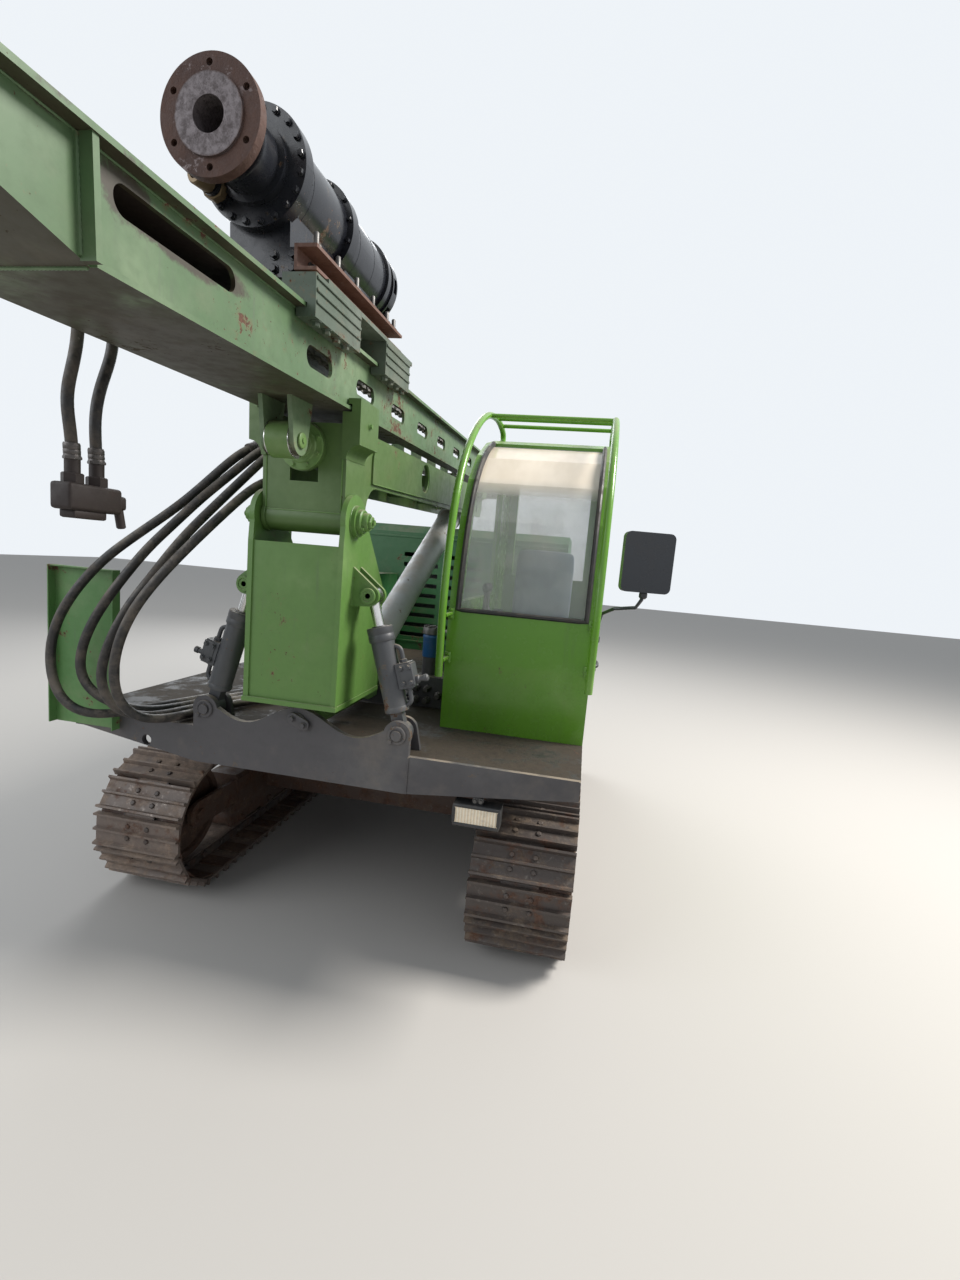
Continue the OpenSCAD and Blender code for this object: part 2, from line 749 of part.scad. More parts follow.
mirror_arm = [[cab_right + 10, cab_front + 70, 1440], [cab_right + 10, cab_front + 70, 1560],
    [cab_right + 22, cab_front + 58, 1610], [cab_right + 70, cab_front + 10, 1640],
    [mirror_x - 24, cab_front - 28, 1655], [mirror_x - 4, cab_front - 34, 1690],
    [mirror_x, cab_front - 35, 1760]];

module cab_mirror() {
    color("black") {
        tube_along(mirror_arm, 8);
        block([cab_right + clear, cab_front + 58, 1440], [cab_right + 12, cab_front + 82, 1500]);
        translate([mirror_x, cab_front - 35, 1845]) rotate([0, 0, mirror_turn]) rotate([90, 0, 0])
            linear_extrude(mirror_size[1], center = true) offset(r = 24)
                square([mirror_size[0] - 48, mirror_size[2] - 48], center = true);
    }
}

// Engine housing, engine, tanks

housing_t = 30;
louvre_count = 9;
louvre_pitch = 82;

// A bank of slots through the housing's front and side walls.
module louvre_slots(x0, x1, rows, z0) {
    for (r = [0:rows - 1]) block([x0, housing_front - 20, z0 + r * louvre_pitch],
        [x1, housing_front + housing_t + 20, z0 + r * louvre_pitch + 34]);
}

module housing_outline(inset) {
    polygon([[housing_front + inset, deck_z + clear],
        [housing_front + inset, housing_top_z - 60 - inset * 0.5],
        [housing_front + 60 + inset * 0.5, housing_top_z - inset],
        [platform_rear - 190 - inset * 0.5, housing_top_z - inset],
        [platform_rear - 20 - inset, housing_top_z - 150 - inset * 0.5],
        [platform_rear - 20 - inset, deck_z + clear]]);
}

module engine_housing() {
    color([0.12, 0.36, 0.16]) difference() {
        plate_yz(platform_left + 230, platform_right - 230) housing_outline(0);
        translate([0, 0, -2]) plate_yz(platform_left + 230 + housing_t, platform_right - 230 - housing_t)
            housing_outline(housing_t);
        louvre_slots(-430, -140, louvre_count, 1130);
        louvre_slots(-60, 230, louvre_count, 1130);
    }
}

module engine() {
    color("gray") block([-480, housing_front + 160, deck_z + clear], [480, platform_rear - 160, 1760]);
}

module fuel_tank() {
    color([0.3, 0.62, 0.16]) difference() {
        block([cab_left + 20, cab_rear + 60, deck_z + clear],
            [platform_right - 20, housing_front - 40, 1620]);
        block([platform_right - 120, cab_rear + 40, 1500], [platform_right, housing_front, 1640]);
    }
}

module hydraulic_tank() {
    color([0.3, 0.62, 0.16]) {
        block([platform_left + 20, 1660, deck_z + clear], [-460, housing_front - 60, 1640]);
        bar_z(50, 1630, 1680, -740, 1900);
    }
}

// Folded guard panel on the front beam's left end
panel_left = platform_left - 70;
panel_right = platform_left + 240;
panel_top = 1630;
panel_t = 5;
panel_fold = 40;

module guard_panel() {
    y1 = cross_y - clear;
    color([0.27, 0.5, 0.24]) difference() {
        block([panel_left, y1 - panel_fold, deck_z - 60], [panel_right, y1, panel_top]);
        block([panel_left + panel_t, y1 - panel_fold - 1, deck_z - 61],
            [panel_right - panel_t, y1 - panel_t, panel_top - panel_t]);
    }
}

// Valve block with its filter beside the column
module valve_block() {
    color([0.3, 0.33, 0.36]) {
        block([245, 560, deck_z + clear], [420, 860, 1180]);
        bar_z(42, 1170, 1400, 300, 640);
        bar_z(30, 1170, 1260, 360, 780);
    }
}

// Column: a U of plates with round ears for the raising pin, lugs for the side cylinders,
// and a foot that turns on the longitudinal tilt pin.

ear_r = 97;
ear_x = column_w / 2;
foot_r = 50;
foot_front = cross_y + cross_t + 12;
foot_rear = bearing_y - 10;
lug_t = 18;
lug_gap = 54;
lug_pin_r = 18;
cheek_x = 62;
cheek_t = 20;
raise_low_r = 30;

column_rear_y = column_front_y + column_depth;
ear_in_r = ear_r - 6;
front_set_back = 6;
front_plate_t = 16;

// A side plate: square at the front, round over the raising pin, sloped down to the rear.
module column_side_outline() {
    polygon([[column_front_y, column_bottom_z], [column_rear_y, column_bottom_z],
        [column_rear_y, column_top_z - 160], [pin_y + ear_in_r * cos(25), pin_z + ear_in_r * sin(25)],
        [pin_y - ear_in_r, pin_z], [column_front_y, column_top_z]]);
    translate([pin_y, pin_z]) circle(r = ear_r);
}

// The two plates of an upper lug, out from the column's side.
module lug_pair() {
    difference() {
        plate_xz(tilt_plane_y - lug_gap / 2 - lug_t, tilt_plane_y + lug_gap / 2 + lug_t) hull() {
            translate([tilt_high_x, tilt_high_z]) circle(r = 40);
            translate([ear_x - 5, tilt_high_z - 45]) square([5, 150]);
        }
        block([ear_x, tilt_plane_y - lug_gap / 2, tilt_high_z - 100],
            [tilt_high_x + 60, tilt_plane_y + lug_gap / 2, tilt_high_z + 200]);
    }
}

// The two cheeks of the raising cylinder's lower pin, up from the foot and in to the column.
module raise_cheeks() {
    difference() {
        plate_yz(-cheek_x - cheek_t, cheek_x + cheek_t) hull() {
            translate([raise_low_y, raise_low_z]) circle(r = 62);
            translate([column_rear_y - 160, column_bottom_z]) square([160, 16]);
            translate([raise_low_y - 80, tilt_z - 20]) square([110, 20]);
        }
        block([-cheek_x, column_rear_y - 200, tilt_z - 30], [cheek_x, raise_low_y + 70, raise_low_z + 90]);
    }
}

// Bracket on the left side plate, with a socket for each of the four loop hoses.
bracket_y = 100;
bracket_t = 10;
socket_r = 28;
socket_h = 34;

module hose_bracket() {
    block([-ear_x - 60, bracket_y, column_top_z - 230],
        [-ear_x + 2, bracket_y + bracket_t, column_top_z - 90]);
    block([-ear_x - 60, bracket_y, column_top_z - 150], [-ear_x - 46, bracket_y + bracket_t, 2080]);
    block([-425, bracket_y, 2150], [-ear_x - 46, bracket_y + bracket_t, 2240]);
    block([-330, bracket_y, 2020], [-ear_x - 46, bracket_y + bracket_t, 2160]);
    for (r = loop_routes) bar_y(socket_r, r[0][1] + clear, bracket_y + 2, r[0][0], r[0][2]);
}

module column() {
    color([0.27, 0.5, 0.24]) difference() {
        union() {
            both_sides() {
                plate_yz(ear_x - column_wall, ear_x) column_side_outline();
                bar_x(58, ear_x - 1, ear_x + 18, pin_y, pin_z);
                lug_pair();
            }
            raise_cheeks();
            hose_bracket();
            block([-ear_x + column_wall - 1, column_front_y + front_set_back, column_bottom_z],
                [ear_x - column_wall + 1, column_front_y + front_set_back + front_plate_t, column_top_z]);
            block([-ear_x - 4, column_front_y - 5, column_bottom_z - 2],
                [ear_x + 4, column_rear_y, column_bottom_z + 16]);
            // Foot around the tilt pin, and the web that joins it to the column.
            bar_y(foot_r, foot_front, foot_rear, 0, tilt_z);
            block([-40, foot_front, tilt_z + 20], [40, column_rear_y, column_bottom_z + 2]);
        }
        bar_y(tilt_pin_r + pin_clear, foot_front - 1, foot_rear + 1, 0, tilt_z);
        bar_x(raise_pin_r + clear, -ear_x - 30, ear_x + 30, pin_y, pin_z);
        bar_x(raise_low_r + clear, -cheek_x - 40, cheek_x + 40, raise_low_y, raise_low_z);
        both_sides() bar_y(lug_pin_r + clear, tilt_plane_y - 80, tilt_plane_y + 80, tilt_high_x, tilt_high_z);
    }
}

// The raising pin's two halves in the ears, and the raising cylinder's lower pin.
module raise_pins() {
    color([0.4, 0.55, 0.3]) {
        bar_x(raise_pin_r, -ear_x - 42, ear_x + 42, pin_y, pin_z);
        bar_x(raise_low_r, -cheek_x - cheek_t - 12, cheek_x + cheek_t + 12, raise_low_y, raise_low_z);
        // Caps over the side cylinders' upper lugs, which hide the ends of their pins.
        both_sides() bar_y(28, tilt_plane_y - lug_gap / 2 - lug_t - 10,
            tilt_plane_y - lug_gap / 2 - lug_t - clear,
            tilt_high_x, tilt_high_z);
    }
}

// Side tilt cylinders. Each is written upright from its lower pin and leaned on to the line
// to its upper pin.

tilt_len = norm([tilt_low_x - tilt_high_x, tilt_high_z - tilt_z]);
tilt_lean = atan2(tilt_low_x - tilt_high_x, tilt_high_z - tilt_z);
barrel_from = 88;
barrel_to = 420;
gland_h = 26;
eye_w = 44;

module at_tilt_cylinder() {
    translate([tilt_low_x, tilt_plane_y, tilt_z]) rotate([0, -tilt_lean, 0]) children();
}

module tilt_barrel() {
    at_tilt_cylinder() difference() {
        union() {
            bar_y(42, -eye_w / 2 - 2, eye_w / 2 + 2, 0, 0);
            block([-24, -eye_w / 2, 0], [24, eye_w / 2, barrel_from + 5]);
            bar_z(tilt_barrel_r, barrel_from, barrel_to - gland_h + 1, 0, 0);
            bar_z(tilt_barrel_r + 3, barrel_to - gland_h, barrel_to, 0, 0);
            // Valve block on the barrel's outer side.
            block([tilt_barrel_r - 8, -30, 170], [tilt_barrel_r + 52, 30, 270]);
        }
        bar_y(low_pin_r + pin_clear, -eye_w, eye_w, 0, 0);
        bar_z(tilt_rod_r + pin_clear, barrel_from + 20, barrel_to + 1, 0, 0);
    }
}

module tilt_rod() {
    at_tilt_cylinder() {
        bar_z(tilt_rod_r, 200, tilt_len - 20, 0, 0);
        difference() {
            bar_y(36, -eye_w / 2, eye_w / 2, 0, tilt_len);
            bar_y(lug_pin_r - 4, -eye_w, eye_w, 0, tilt_len);
        }
    }
}

module tilt_barrel_right() {
    color([0.26, 0.28, 0.31]) tilt_barrel();
}

module tilt_barrel_left() {
    color([0.26, 0.28, 0.31]) mirror([1, 0, 0]) tilt_barrel();
}

module tilt_rod_right() {
    color("silver") tilt_rod();
}

module tilt_rod_left() {
    color("silver") mirror([1, 0, 0]) tilt_rod();
}

// Raising cylinder, written along its own axis from the lower pin.

raise_high = [0, pin_y + raise_high_y * cos(mast_tilt) - raise_high_z * sin(mast_tilt),
    pin_z + raise_high_y * sin(mast_tilt) + raise_high_z * cos(mast_tilt)];
raise_run = raise_high[1] - raise_low_y;
raise_rise = raise_high[2] - raise_low_z;
raise_len = norm([raise_run, raise_rise]);
raise_angle = atan2(raise_rise, raise_run);
raise_barrel_end = raise_len - 190;
raise_eye_r = 44;

module at_raise_cylinder() {
    translate([0, raise_low_y, raise_low_z]) rotate([raise_angle - 90, 0, 0]) children();
}

module raise_barrel() {
    color([0.62, 0.64, 0.66]) at_raise_cylinder() difference() {
        union() {
            bar_x(raise_eye_r, -cheek_x + 5, cheek_x - 5, 0, 0);
            bar_z(raise_barrel_r, 130, raise_barrel_end - 39, 0, 0);
            bar_z(raise_barrel_r + 6, raise_barrel_end - 40, raise_barrel_end, 0, 0);
            block([-40, -44, 20], [40, 44, 135]);
        }
        bar_x(raise_low_r + pin_clear, -cheek_x - 1, cheek_x + 1, 0, 0);
        bar_z(raise_rod_r + pin_clear, 300, raise_barrel_end + 1, 0, 0);
    }
}

module raise_rod() {
    color("silver") at_raise_cylinder() {
        bar_z(raise_rod_r, 500, raise_len - 30, 0, 0);
        bar_x(62, -60, 60, 0, raise_len);
        bar_x(28, -cradle_w / 2 + cradle_wall + 5, cradle_w / 2 - cradle_wall - 5, 0, raise_len);
    }
}

// Cradle: the box that hangs on the raising pin, and the beam of two side plates behind it.

box_front = -50;
box_rear = 150;
box_floor = -36;
box_plate = 16;
hub_r = 56;
hub_rim = 6;
gusset_r = 110;
guide_ys = [-60, 2350];
guide_len = 180;
slide_axis = 255;
slide_barrel_r = 70;
slide_gland_r = 88;
window_w = 112;
window_low = 132;
lower_lip = 14;
claw_x = mast_w / 2 + 52;
claw_fillet = 52;
doubler_t = 8;
doubler_front = 200;
doubler_r = 95;

// A side plate: the box with its round hinge corner, the rounded gusset behind it and the beam.
module cradle_side_outline() {
    difference() {
        union() {
            polygon(concat([[box_rear, box_floor]],
                [for (a = [180:-15:90]) [box_rear + gusset_r + gusset_r * cos(a),
                    beam_low - gusset_r + gusset_r * sin(a)]],
                [[beam_rear - 60, beam_low - 12], [beam_rear, beam_low + 60], [beam_rear, beam_high],
                [box_front, beam_high], [box_front, 0], [0, box_floor]]));
            circle(r = hub_r + hub_rim);
        }
        translate([960, 256]) circle(r = beam_hole_r);
    }
}

// The thicker plate on the beam's side: its upper front corner is round.
module doubler_outline() {
    difference() {
        polygon(concat([[doubler_front, beam_low + 16], [2340, beam_low + 16], [2340, beam_high - 8]],
            [for (a = [90:15:180]) [doubler_front + doubler_r + doubler_r * cos(a),
                beam_high - 8 - doubler_r + doubler_r * sin(a)]]));
        translate([960, 256]) circle(r = beam_hole_r);
    }
}

// A claw seen from the front: it flares out from the side plate with a round gusset.
module claw_outline() {
    difference() {
        translate([cradle_w / 2 - cradle_wall, beam_high - 124])
            square([claw_x - cradle_w / 2 + cradle_wall, mast_low - 6 - beam_high + 124]);
        translate([claw_x + 2, beam_high - 124]) circle(r = claw_fillet);
    }
}

module cradle() {
    x0 = cradle_w / 2 - cradle_wall;
    x1 = cradle_w / 2;
    color([0.3, 0.56, 0.26]) in_mast_frame() difference() {
        union() {
            both_sides() {
                plate_yz(x0, x1) cradle_side_outline();
                plate_yz(x1 - 1, x1 + doubler_t) doubler_outline();
                // Claws that grip the lips of the mast's bottom plate.
                for (y = guide_ys) {
                    plate_xz(y, y + guide_len) claw_outline();
                    block([mast_w / 2 + lower_lip + 5, y, mast_low - 8],
                        [claw_x, y + guide_len, mast_low + 40]);
                    block([mast_w / 2 + 4, y, mast_low + 20], [claw_x, y + guide_len, mast_low + 40]);
                }
            }
            // Front box: face, back, floor and the hinge tube along its lower edge.
            block([-x1, box_front, 0], [x1, box_front + box_plate, beam_high]);
            block([-x1, box_rear - box_plate, box_floor], [x1, box_rear, beam_low]);
            block([-x1, 36, box_floor], [x1, box_rear, box_floor + box_plate]);
            bar_x(hub_r, -x1, x1, 0, 0);
            // Cross tubes between the side plates.
            for (y = [1300, 1900]) bar_x(30, -x0 - 1, x0 + 1, y, beam_low + 60);
        }
        bar_x(raise_pin_r + pin_clear, -x1 - 60, x1 + 60, 0, 0);
        // Window below the slide cylinder, and the cylinder's hole.
        block([-window_w / 2, box_front - 1, window_low],
            [window_w / 2, box_front + box_plate + 1, slide_axis]);
        bar_y(slide_barrel_r + 2, box_front - 1, box_front + box_plate + 1, 0, slide_axis);
        bar_x(32, -x1 - 60, -x0 + 1, raise_high_y, raise_high_z);
        bar_x(32, x0 - 1, x1 + 60, raise_high_y, raise_high_z);
    }
}

// Slide cylinder between the cradle's side plates; its rod pushes the mast to the front.
slide_eye_y = -194;
slide_rod_r = 38;
slide_eye_r = 60;
slide_eye_w = 88;
rod_lug_t = 16;
rod_lug_r = 50;

module slide_barrel() {
    color([0.3, 0.56, 0.26]) in_mast_frame() difference() {
        union() {
            bar_y(slide_barrel_r, box_front - 10, 1150, 0, slide_axis);
            bar_y(slide_gland_r, box_front - 24, box_front - clear, 0, slide_axis);
            for (y = [180, 1060]) block([-cradle_w / 2 + cradle_wall + clear, y, slide_axis - 30],
                [cradle_w / 2 - cradle_wall - clear, y + 60, slide_axis + 30]);
        }
        bar_y(slide_rod_r + pin_clear, box_front - 25, 1100, 0, slide_axis);
    }
}

module slide_rod() {
    color("silver") in_mast_frame() {
        bar_y(slide_rod_r, slide_eye_y + slide_eye_r - 20, 900, 0, slide_axis);
        bar_x(slide_eye_r, -slide_eye_w / 2, slide_eye_w / 2, slide_eye_y, slide_axis);
    }
}

// Mast: a box of two side plates, a bottom plate with lips and a top with rail flanges.

taper_start = -1160;
foot_rise = 110;

module mast_side_outline() {
    polygon([[-mast_foot, mast_low + foot_rise], [taper_start, mast_low], [mast_head_end, mast_low],
        [mast_head_end, mast_high], [-mast_foot, mast_high]]);
}

// An obround hole, centred on y and z.
module obround(y, z, len, w) {
    translate([y, z]) square([len - w, w], center = true);
    for (s = [-1, 1]) translate([y + s * (len - w) / 2, z]) circle(r = w / 2);
}

module mast() {
    x1 = mast_w / 2;
    x0 = x1 - mast_wall;
    color([0.33, 0.56, 0.3]) in_mast_frame() difference() {
        union() {
            both_sides() plate_yz(x0, x1) mast_side_outline();
            // Bottom plate with lips, from the taper to the rear end.
            block([-x1 - lower_lip, taper_start, mast_low], [x1 + lower_lip, mast_head_end, mast_low + 12]);
            // Top flanges.
            both_sides() block([x1 - 70, -mast_foot, mast_high - flange_t],
                [flange_w / 2, mast_head_end, mast_high]);
            // Sloped foot plate and end plate.
            plate_yz(-x1, x1) polygon([[-mast_foot, mast_low + foot_rise], [taper_start, mast_low],
                [taper_start + 10, mast_low + 12], [-mast_foot + 10, mast_low + foot_rise + 12]]);
            block([-x1, -mast_foot, mast_low + foot_rise], [x1, -mast_foot + 16, mast_high]);
            block([-x1, mast_head_end - 16, mast_low], [x1, mast_head_end, mast_high]);
            // Stiffeners outside, where the foot box begins.
            both_sides() block([x1 - 1, taper_start - 20, mast_low + 2],
                [flange_w / 2 - 4, taper_start - 6, mast_high - 1]);
            rotate([-mast_tilt, 0, 0]) translate([0, -pin_y, -pin_z]) hang_clamp();
            // Lugs of the slide cylinder's rod.
            both_sides() plate_yz(slide_eye_w / 2 + clear, slide_eye_w / 2 + clear + rod_lug_t) hull() {
                translate([slide_eye_y, slide_axis]) circle(r = rod_lug_r);
                translate([slide_eye_y - 70, mast_low]) square([150, 5]);
            }
        }
        // Long slot near the foot, then the row of lightening slots.
        plate_yz(x0 - 1, x1 + 50) obround(-920, mast_high - 66, 370, 56);
        plate_yz(-x1 - 50, x1 + 50) {
            for (i = [0:10]) obround(-280 + i * slot_pitch, mast_low + 96, slot_len, slot_w);
        }
        // Opening through the bottom plate.
        block([-100, 700, mast_low - 1], [100, 2000, mast_low + 13]);
    }
}

// Feed chain along the mast's top, between the rails.
chain_links = 36;
chain_z = mast_high - 4;

module feed_chain() {
    from = -mast_foot + 120;
    pitch = (mast_head_end - 120 - from) / chain_links;
    color([0.25, 0.22, 0.2]) in_mast_frame() {
        block([-10, from, chain_z - 8], [10, mast_head_end - 120, chain_z + 8]);
        for (i = [0:chain_links - 1]) block([-30, from + i * pitch + 12, chain_z - 18],
            [30, from + (i + 1) * pitch - 12, chain_z + 18]);
    }
}

// Sprockets and the feed motor at the mast's ends.
front_sprocket_y = -mast_foot + 150;
rear_sprocket_y = mast_head_end - 120;
sprocket_r = 50;
sprocket_z = chain_z - 18 - clear - sprocket_r;

module chain_drive() {
    color([0.25, 0.26, 0.28]) in_mast_frame() {
        for (y = [front_sprocket_y, rear_sprocket_y]) {
            bar_x(14, -mast_w / 2 + mast_wall + clear, mast_w / 2 - mast_wall - clear, y, sprocket_z);
            bar_x(sprocket_r, -16, 16, y, sprocket_z);
        }
        bar_x(56, -mast_w / 2 - 150, -mast_w / 2 - clear, rear_sprocket_y, sprocket_z);
    }
}

// Sled on the mast's flanges

sled_front = -470;
sled_rear = 450;
sled_z = 690;
shoe_x = flange_w / 2 + 4;
shoe_in_x = mast_w / 2 - 40;
shoe_ys = [[-450, -120], [130, 420]];

module head_sled() {
    color([0.3, 0.56, 0.26]) in_mast_frame() {
        block([-flange_w / 2 - 30, sled_front + 100, sled_z - 14], [flange_w / 2 + 30, sled_rear, sled_z]);
        both_sides() for (s = shoe_ys) {
            block([shoe_in_x, s[0], mast_high + clear], [flange_w / 2 + 30, s[1], sled_z - 13]);
            block([shoe_x, s[0], mast_high - flange_t - 26], [flange_w / 2 + 30, s[1], mast_high + 1]);
            block([mast_w / 2 + 6, s[0], mast_high - flange_t - 26],
                [flange_w / 2 + 30, s[1], mast_high - flange_t - clear * 2]);
        }
    }
}

// Rust-brown channels and the black base box that carry the head on the sled.
module head_mount() {
    color([0.32, 0.17, 0.12]) in_mast_frame() {
        both_sides() {
            block([150, -430, sled_z + clear], [flange_w / 2 + 20, 330, sled_z + 10]);
            block([150, -430, sled_z + clear], [160, 330, sled_z + 70]);
            block([150, -430, sled_z + 60], [flange_w / 2 + 20, 330, sled_z + 70]);
        }
    }
}

// Head: base box, main barrel with bolted rings, collar and side port.
plinth_h = 82;
saddle_w = 196;
rear_windows = 8;

module head_body() {
    color([0.1, 0.1, 0.11]) in_mast_frame() difference() {
        union() {
            block([-150 + clear, -380, sled_z + clear], [150 - clear, 300, sled_z + plinth_h]);
            block([-saddle_w / 2, -360, sled_z + plinth_h - 1], [saddle_w / 2, 280, head_axis - 90]);
            bar_y(92, -500, -380, 0, head_axis);
            bar_y(110, -420, -380, 0, head_axis);
            bar_y(ring_r, -395, -350, 0, head_axis);
            bar_y(barrel_r, -351, 400, 0, head_axis);
            bar_y(ring_r - 3, -50, 0, 0, head_axis);
            bar_y(barrel_r + 12, 330, 360, 0, head_axis);
            bar_y(barrel_r + 8, 400, 450, 0, head_axis);
            bar_y(30, -450, -394, -105, head_axis - 72);
        }
        // Windows round the rear cover.
        for (k = [0:rear_windows - 1]) translate([0, 0, head_axis]) rotate([0, k * 360 / rear_windows, 0])
            block([-28, 410, barrel_r - 4], [28, 440, barrel_r + 20]);
        bar_y(58 + pin_clear, -501, -300, 0, head_axis);
    }
}

// Output spindle with its bolted flange.
bolt_pcd_r = 118;
bolt_hole_r = 9;

module spindle() {
    color([0.3, 0.18, 0.14]) in_mast_frame() difference() {
        union() {
            bar_y(58, -flange_face + 20, -310, 0, head_axis);
            bar_y(out_flange_r, -flange_face + 6, -flange_face + 34, 0, head_axis);
            bar_y(96, -flange_face, -flange_face + 10, 0, head_axis);
        }
        bar_y(out_bore_r, -flange_face - 1, -flange_face + 160, 0, head_axis);
        for (k = [0:5]) translate([0, 0, head_axis]) rotate([0, k * 60, 0])
            bar_y(bolt_hole_r, -flange_face - 1, -flange_face + 40, 0, bolt_pcd_r);
    }
}

// Hoses. Each route is a list of points from the fixed end to the free or far end.

loop_hose_r = 25;
hang_hose_r = 19;

// Four hoses from the column's bracket, out round the platform's front left corner and back
// over the deck to the manifold.
loop_routes = [
    [[-385, 60, 2195], [-385, 15, 2195], [-460, -30, 2110], [-590, -120, 1935], [-710, -200, 1805],
        [-820, -280, 1680], [-900, -325, 1560], [-970, -345, 1440], [-1010, -350, 1310], [-1000, -355, 1190],
        [-955, -360, 1100], [-880, -350, 1052], [-800, -315, 1044], [-762, -235, 1047], [-710, -90, 1046],
        [-640, 110, 1046], [-560, 290, 1046], [-500, 400, 1046], [-500, 450, 1046]],
    [[-325, 60, 2195], [-325, 15, 2195], [-400, -30, 2100], [-510, -130, 1950], [-585, -200, 1830],
        [-640, -260, 1740], [-695, -300, 1640], [-765, -325, 1530], [-820, -335, 1440], [-870, -340, 1330],
        [-890, -340, 1220], [-855, -330, 1145], [-778, -312, 1100], [-712, -262, 1068], [-680, -190, 1048],
        [-640, -70, 1046],
        [-575, 110, 1046], [-500, 290, 1046], [-440, 400, 1046], [-440, 450, 1046]],
    [[-265, 60, 2195], [-265, 15, 2195], [-330, -50, 2090], [-425, -150, 1930], [-480, -230, 1820],
        [-530, -285, 1720], [-585, -325, 1610], [-645, -350, 1520], [-700, -365, 1410], [-745, -370, 1300],
        [-765, -370, 1200], [-740, -360, 1115], [-680, -330, 1062], [-618, -240, 1047], [-575, -70, 1046],
        [-515, 110, 1046], [-440, 290, 1046], [-380, 400, 1046], [-380, 450, 1046]],
    [[-290, 60, 2060], [-290, 10, 2060], [-305, -90, 2010], [-350, -195, 1905], [-405, -275, 1800],
        [-465, -335, 1700], [-530, -375, 1600], [-590, -400, 1500], [-630, -415, 1400], [-655, -420, 1300],
        [-660, -415, 1200], [-645, -395, 1115], [-605, -345, 1058], [-552, -235, 1046], [-515, -70, 1046],
        [-455, 110, 1046], [-380, 290, 1046], [-320, 400, 1046], [-320, 450, 1046]]];

// Two hoses that hang from the clamp on the mast's left side down to the junction block.
hang_routes = [
    [[-240, -990, 2330], [-240, -990, 2260], [-238, -1010, 2180], [-235, -1035, 2100], [-238, -1015, 2030],
        [-240, -1010, 1990], [-240, -1010, 1960]],
    [[-240, -880, 2330], [-240, -880, 2260], [-240, -915, 2180], [-236, -945, 2090], [-240, -940, 2030],
        [-240, -935, 1990], [-240, -935, 1960]]];

module loop_hose(k) {
    color([0.12, 0.12, 0.12]) tube_along(loop_routes[k], loop_hose_r);
}

module hang_hose(k) {
    color([0.12, 0.12, 0.12]) tube_along(hang_routes[k], hang_hose_r);
}

// Junction block on the ends of the hanging hoses, with its crimped sockets.
module hang_block() {
    color([0.2, 0.13, 0.1]) {
        block([-290, -1070, 1820], [-190, -850, 1905]);
        for (r = hang_routes) bar_z(hang_hose_r + 6, 1904, r[len(r) - 1][2] - clear, r[len(r) - 1][0],
            r[len(r) - 1][1]);
    }
}

// Clamp on the mast's left side, over the hanging hoses' upper ends.
module hang_clamp() {
    block([-268, -1025, 2330 + clear], [-mast_w / 2 + 1, -845, 2366]);
}

// Manifold on the deck that takes the loop hoses' lower ends.
module manifold() {
    color([0.3, 0.33, 0.36]) {
        block([-550, 450 + socket_h, deck_z + clear], [-280, 640, 1110]);
        for (r = loop_routes) bar_y(loop_hose_r + 4, 450 + clear, 452 + socket_h, r[len(r) - 1][0], 1051);
    }
}

// The whole part's extremes: the left track, the mirror, the mast's foot and its rear end.
box_left = -track_overall_w / 2;
box_right = mirror_x + mirror_size[0] / 2 * cos(mirror_turn) + mirror_size[1] / 2 * sin(mirror_turn);
box_front_end = pin_y - mast_foot * cos(mast_tilt) - mast_high * sin(mast_tilt);
box_rear_end = pin_y + mast_head_end * cos(mast_tilt) - mast_low * sin(mast_tilt);

about_middle() track_left();
about_middle() track_right();
about_middle() side_frame_left();
about_middle() side_frame_right();
about_middle() rollers_left();
about_middle() rollers_right();
about_middle() car_body();
about_middle() platform();
about_middle() cross_plate();
about_middle() tilt_brackets();
about_middle() tilt_pins();
about_middle() work_lamp();
about_middle() cab_shell();
about_middle() cab_roof_guard();
about_middle() cab_glass();
about_middle() cab_door();
about_middle() door_glass();
about_middle() seat();
about_middle() console();
about_middle() cab_mirror();  // mirror
about_middle() engine_housing();
about_middle() engine();
about_middle() fuel_tank();
about_middle() hydraulic_tank();
about_middle() guard_panel();
about_middle() valve_block();
about_middle() column();
about_middle() raise_pins();
about_middle() tilt_barrel_left();
about_middle() tilt_rod_left();
about_middle() tilt_barrel_right();
about_middle() tilt_rod_right();
about_middle() raise_barrel();
about_middle() raise_rod();
about_middle() cradle();
about_middle() slide_barrel();
about_middle() mast();
about_middle() slide_rod();
about_middle() feed_chain();
about_middle() chain_drive();
about_middle() head_sled();
about_middle() head_body();
about_middle() head_mount();
about_middle() spindle();
about_middle() loop_hose(0);  // loop_hose_1
about_middle() loop_hose(1);  // loop_hose_2
about_middle() loop_hose(2);  // loop_hose_3
about_middle() loop_hose(3);  // loop_hose_4
about_middle() hang_hose(0);  // hang_hose_1
about_middle() hang_hose(1);  // hang_hose_2
about_middle() hang_block();
about_middle() manifold();
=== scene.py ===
"""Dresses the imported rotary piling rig: paint, wear, rust, hoses, chain, bolts and cab trim.

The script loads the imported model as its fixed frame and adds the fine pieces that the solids
leave out. Sizes are millimetres from the machine's datum, which is midway between the tracks,
at their front, on the ground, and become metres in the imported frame.
"""

import json
import logging
import math
from dataclasses import dataclass, field, replace
from enum import Enum
from typing import ClassVar, Iterable, Sequence

import bmesh
import bpy
from mathutils import Matrix, Vector

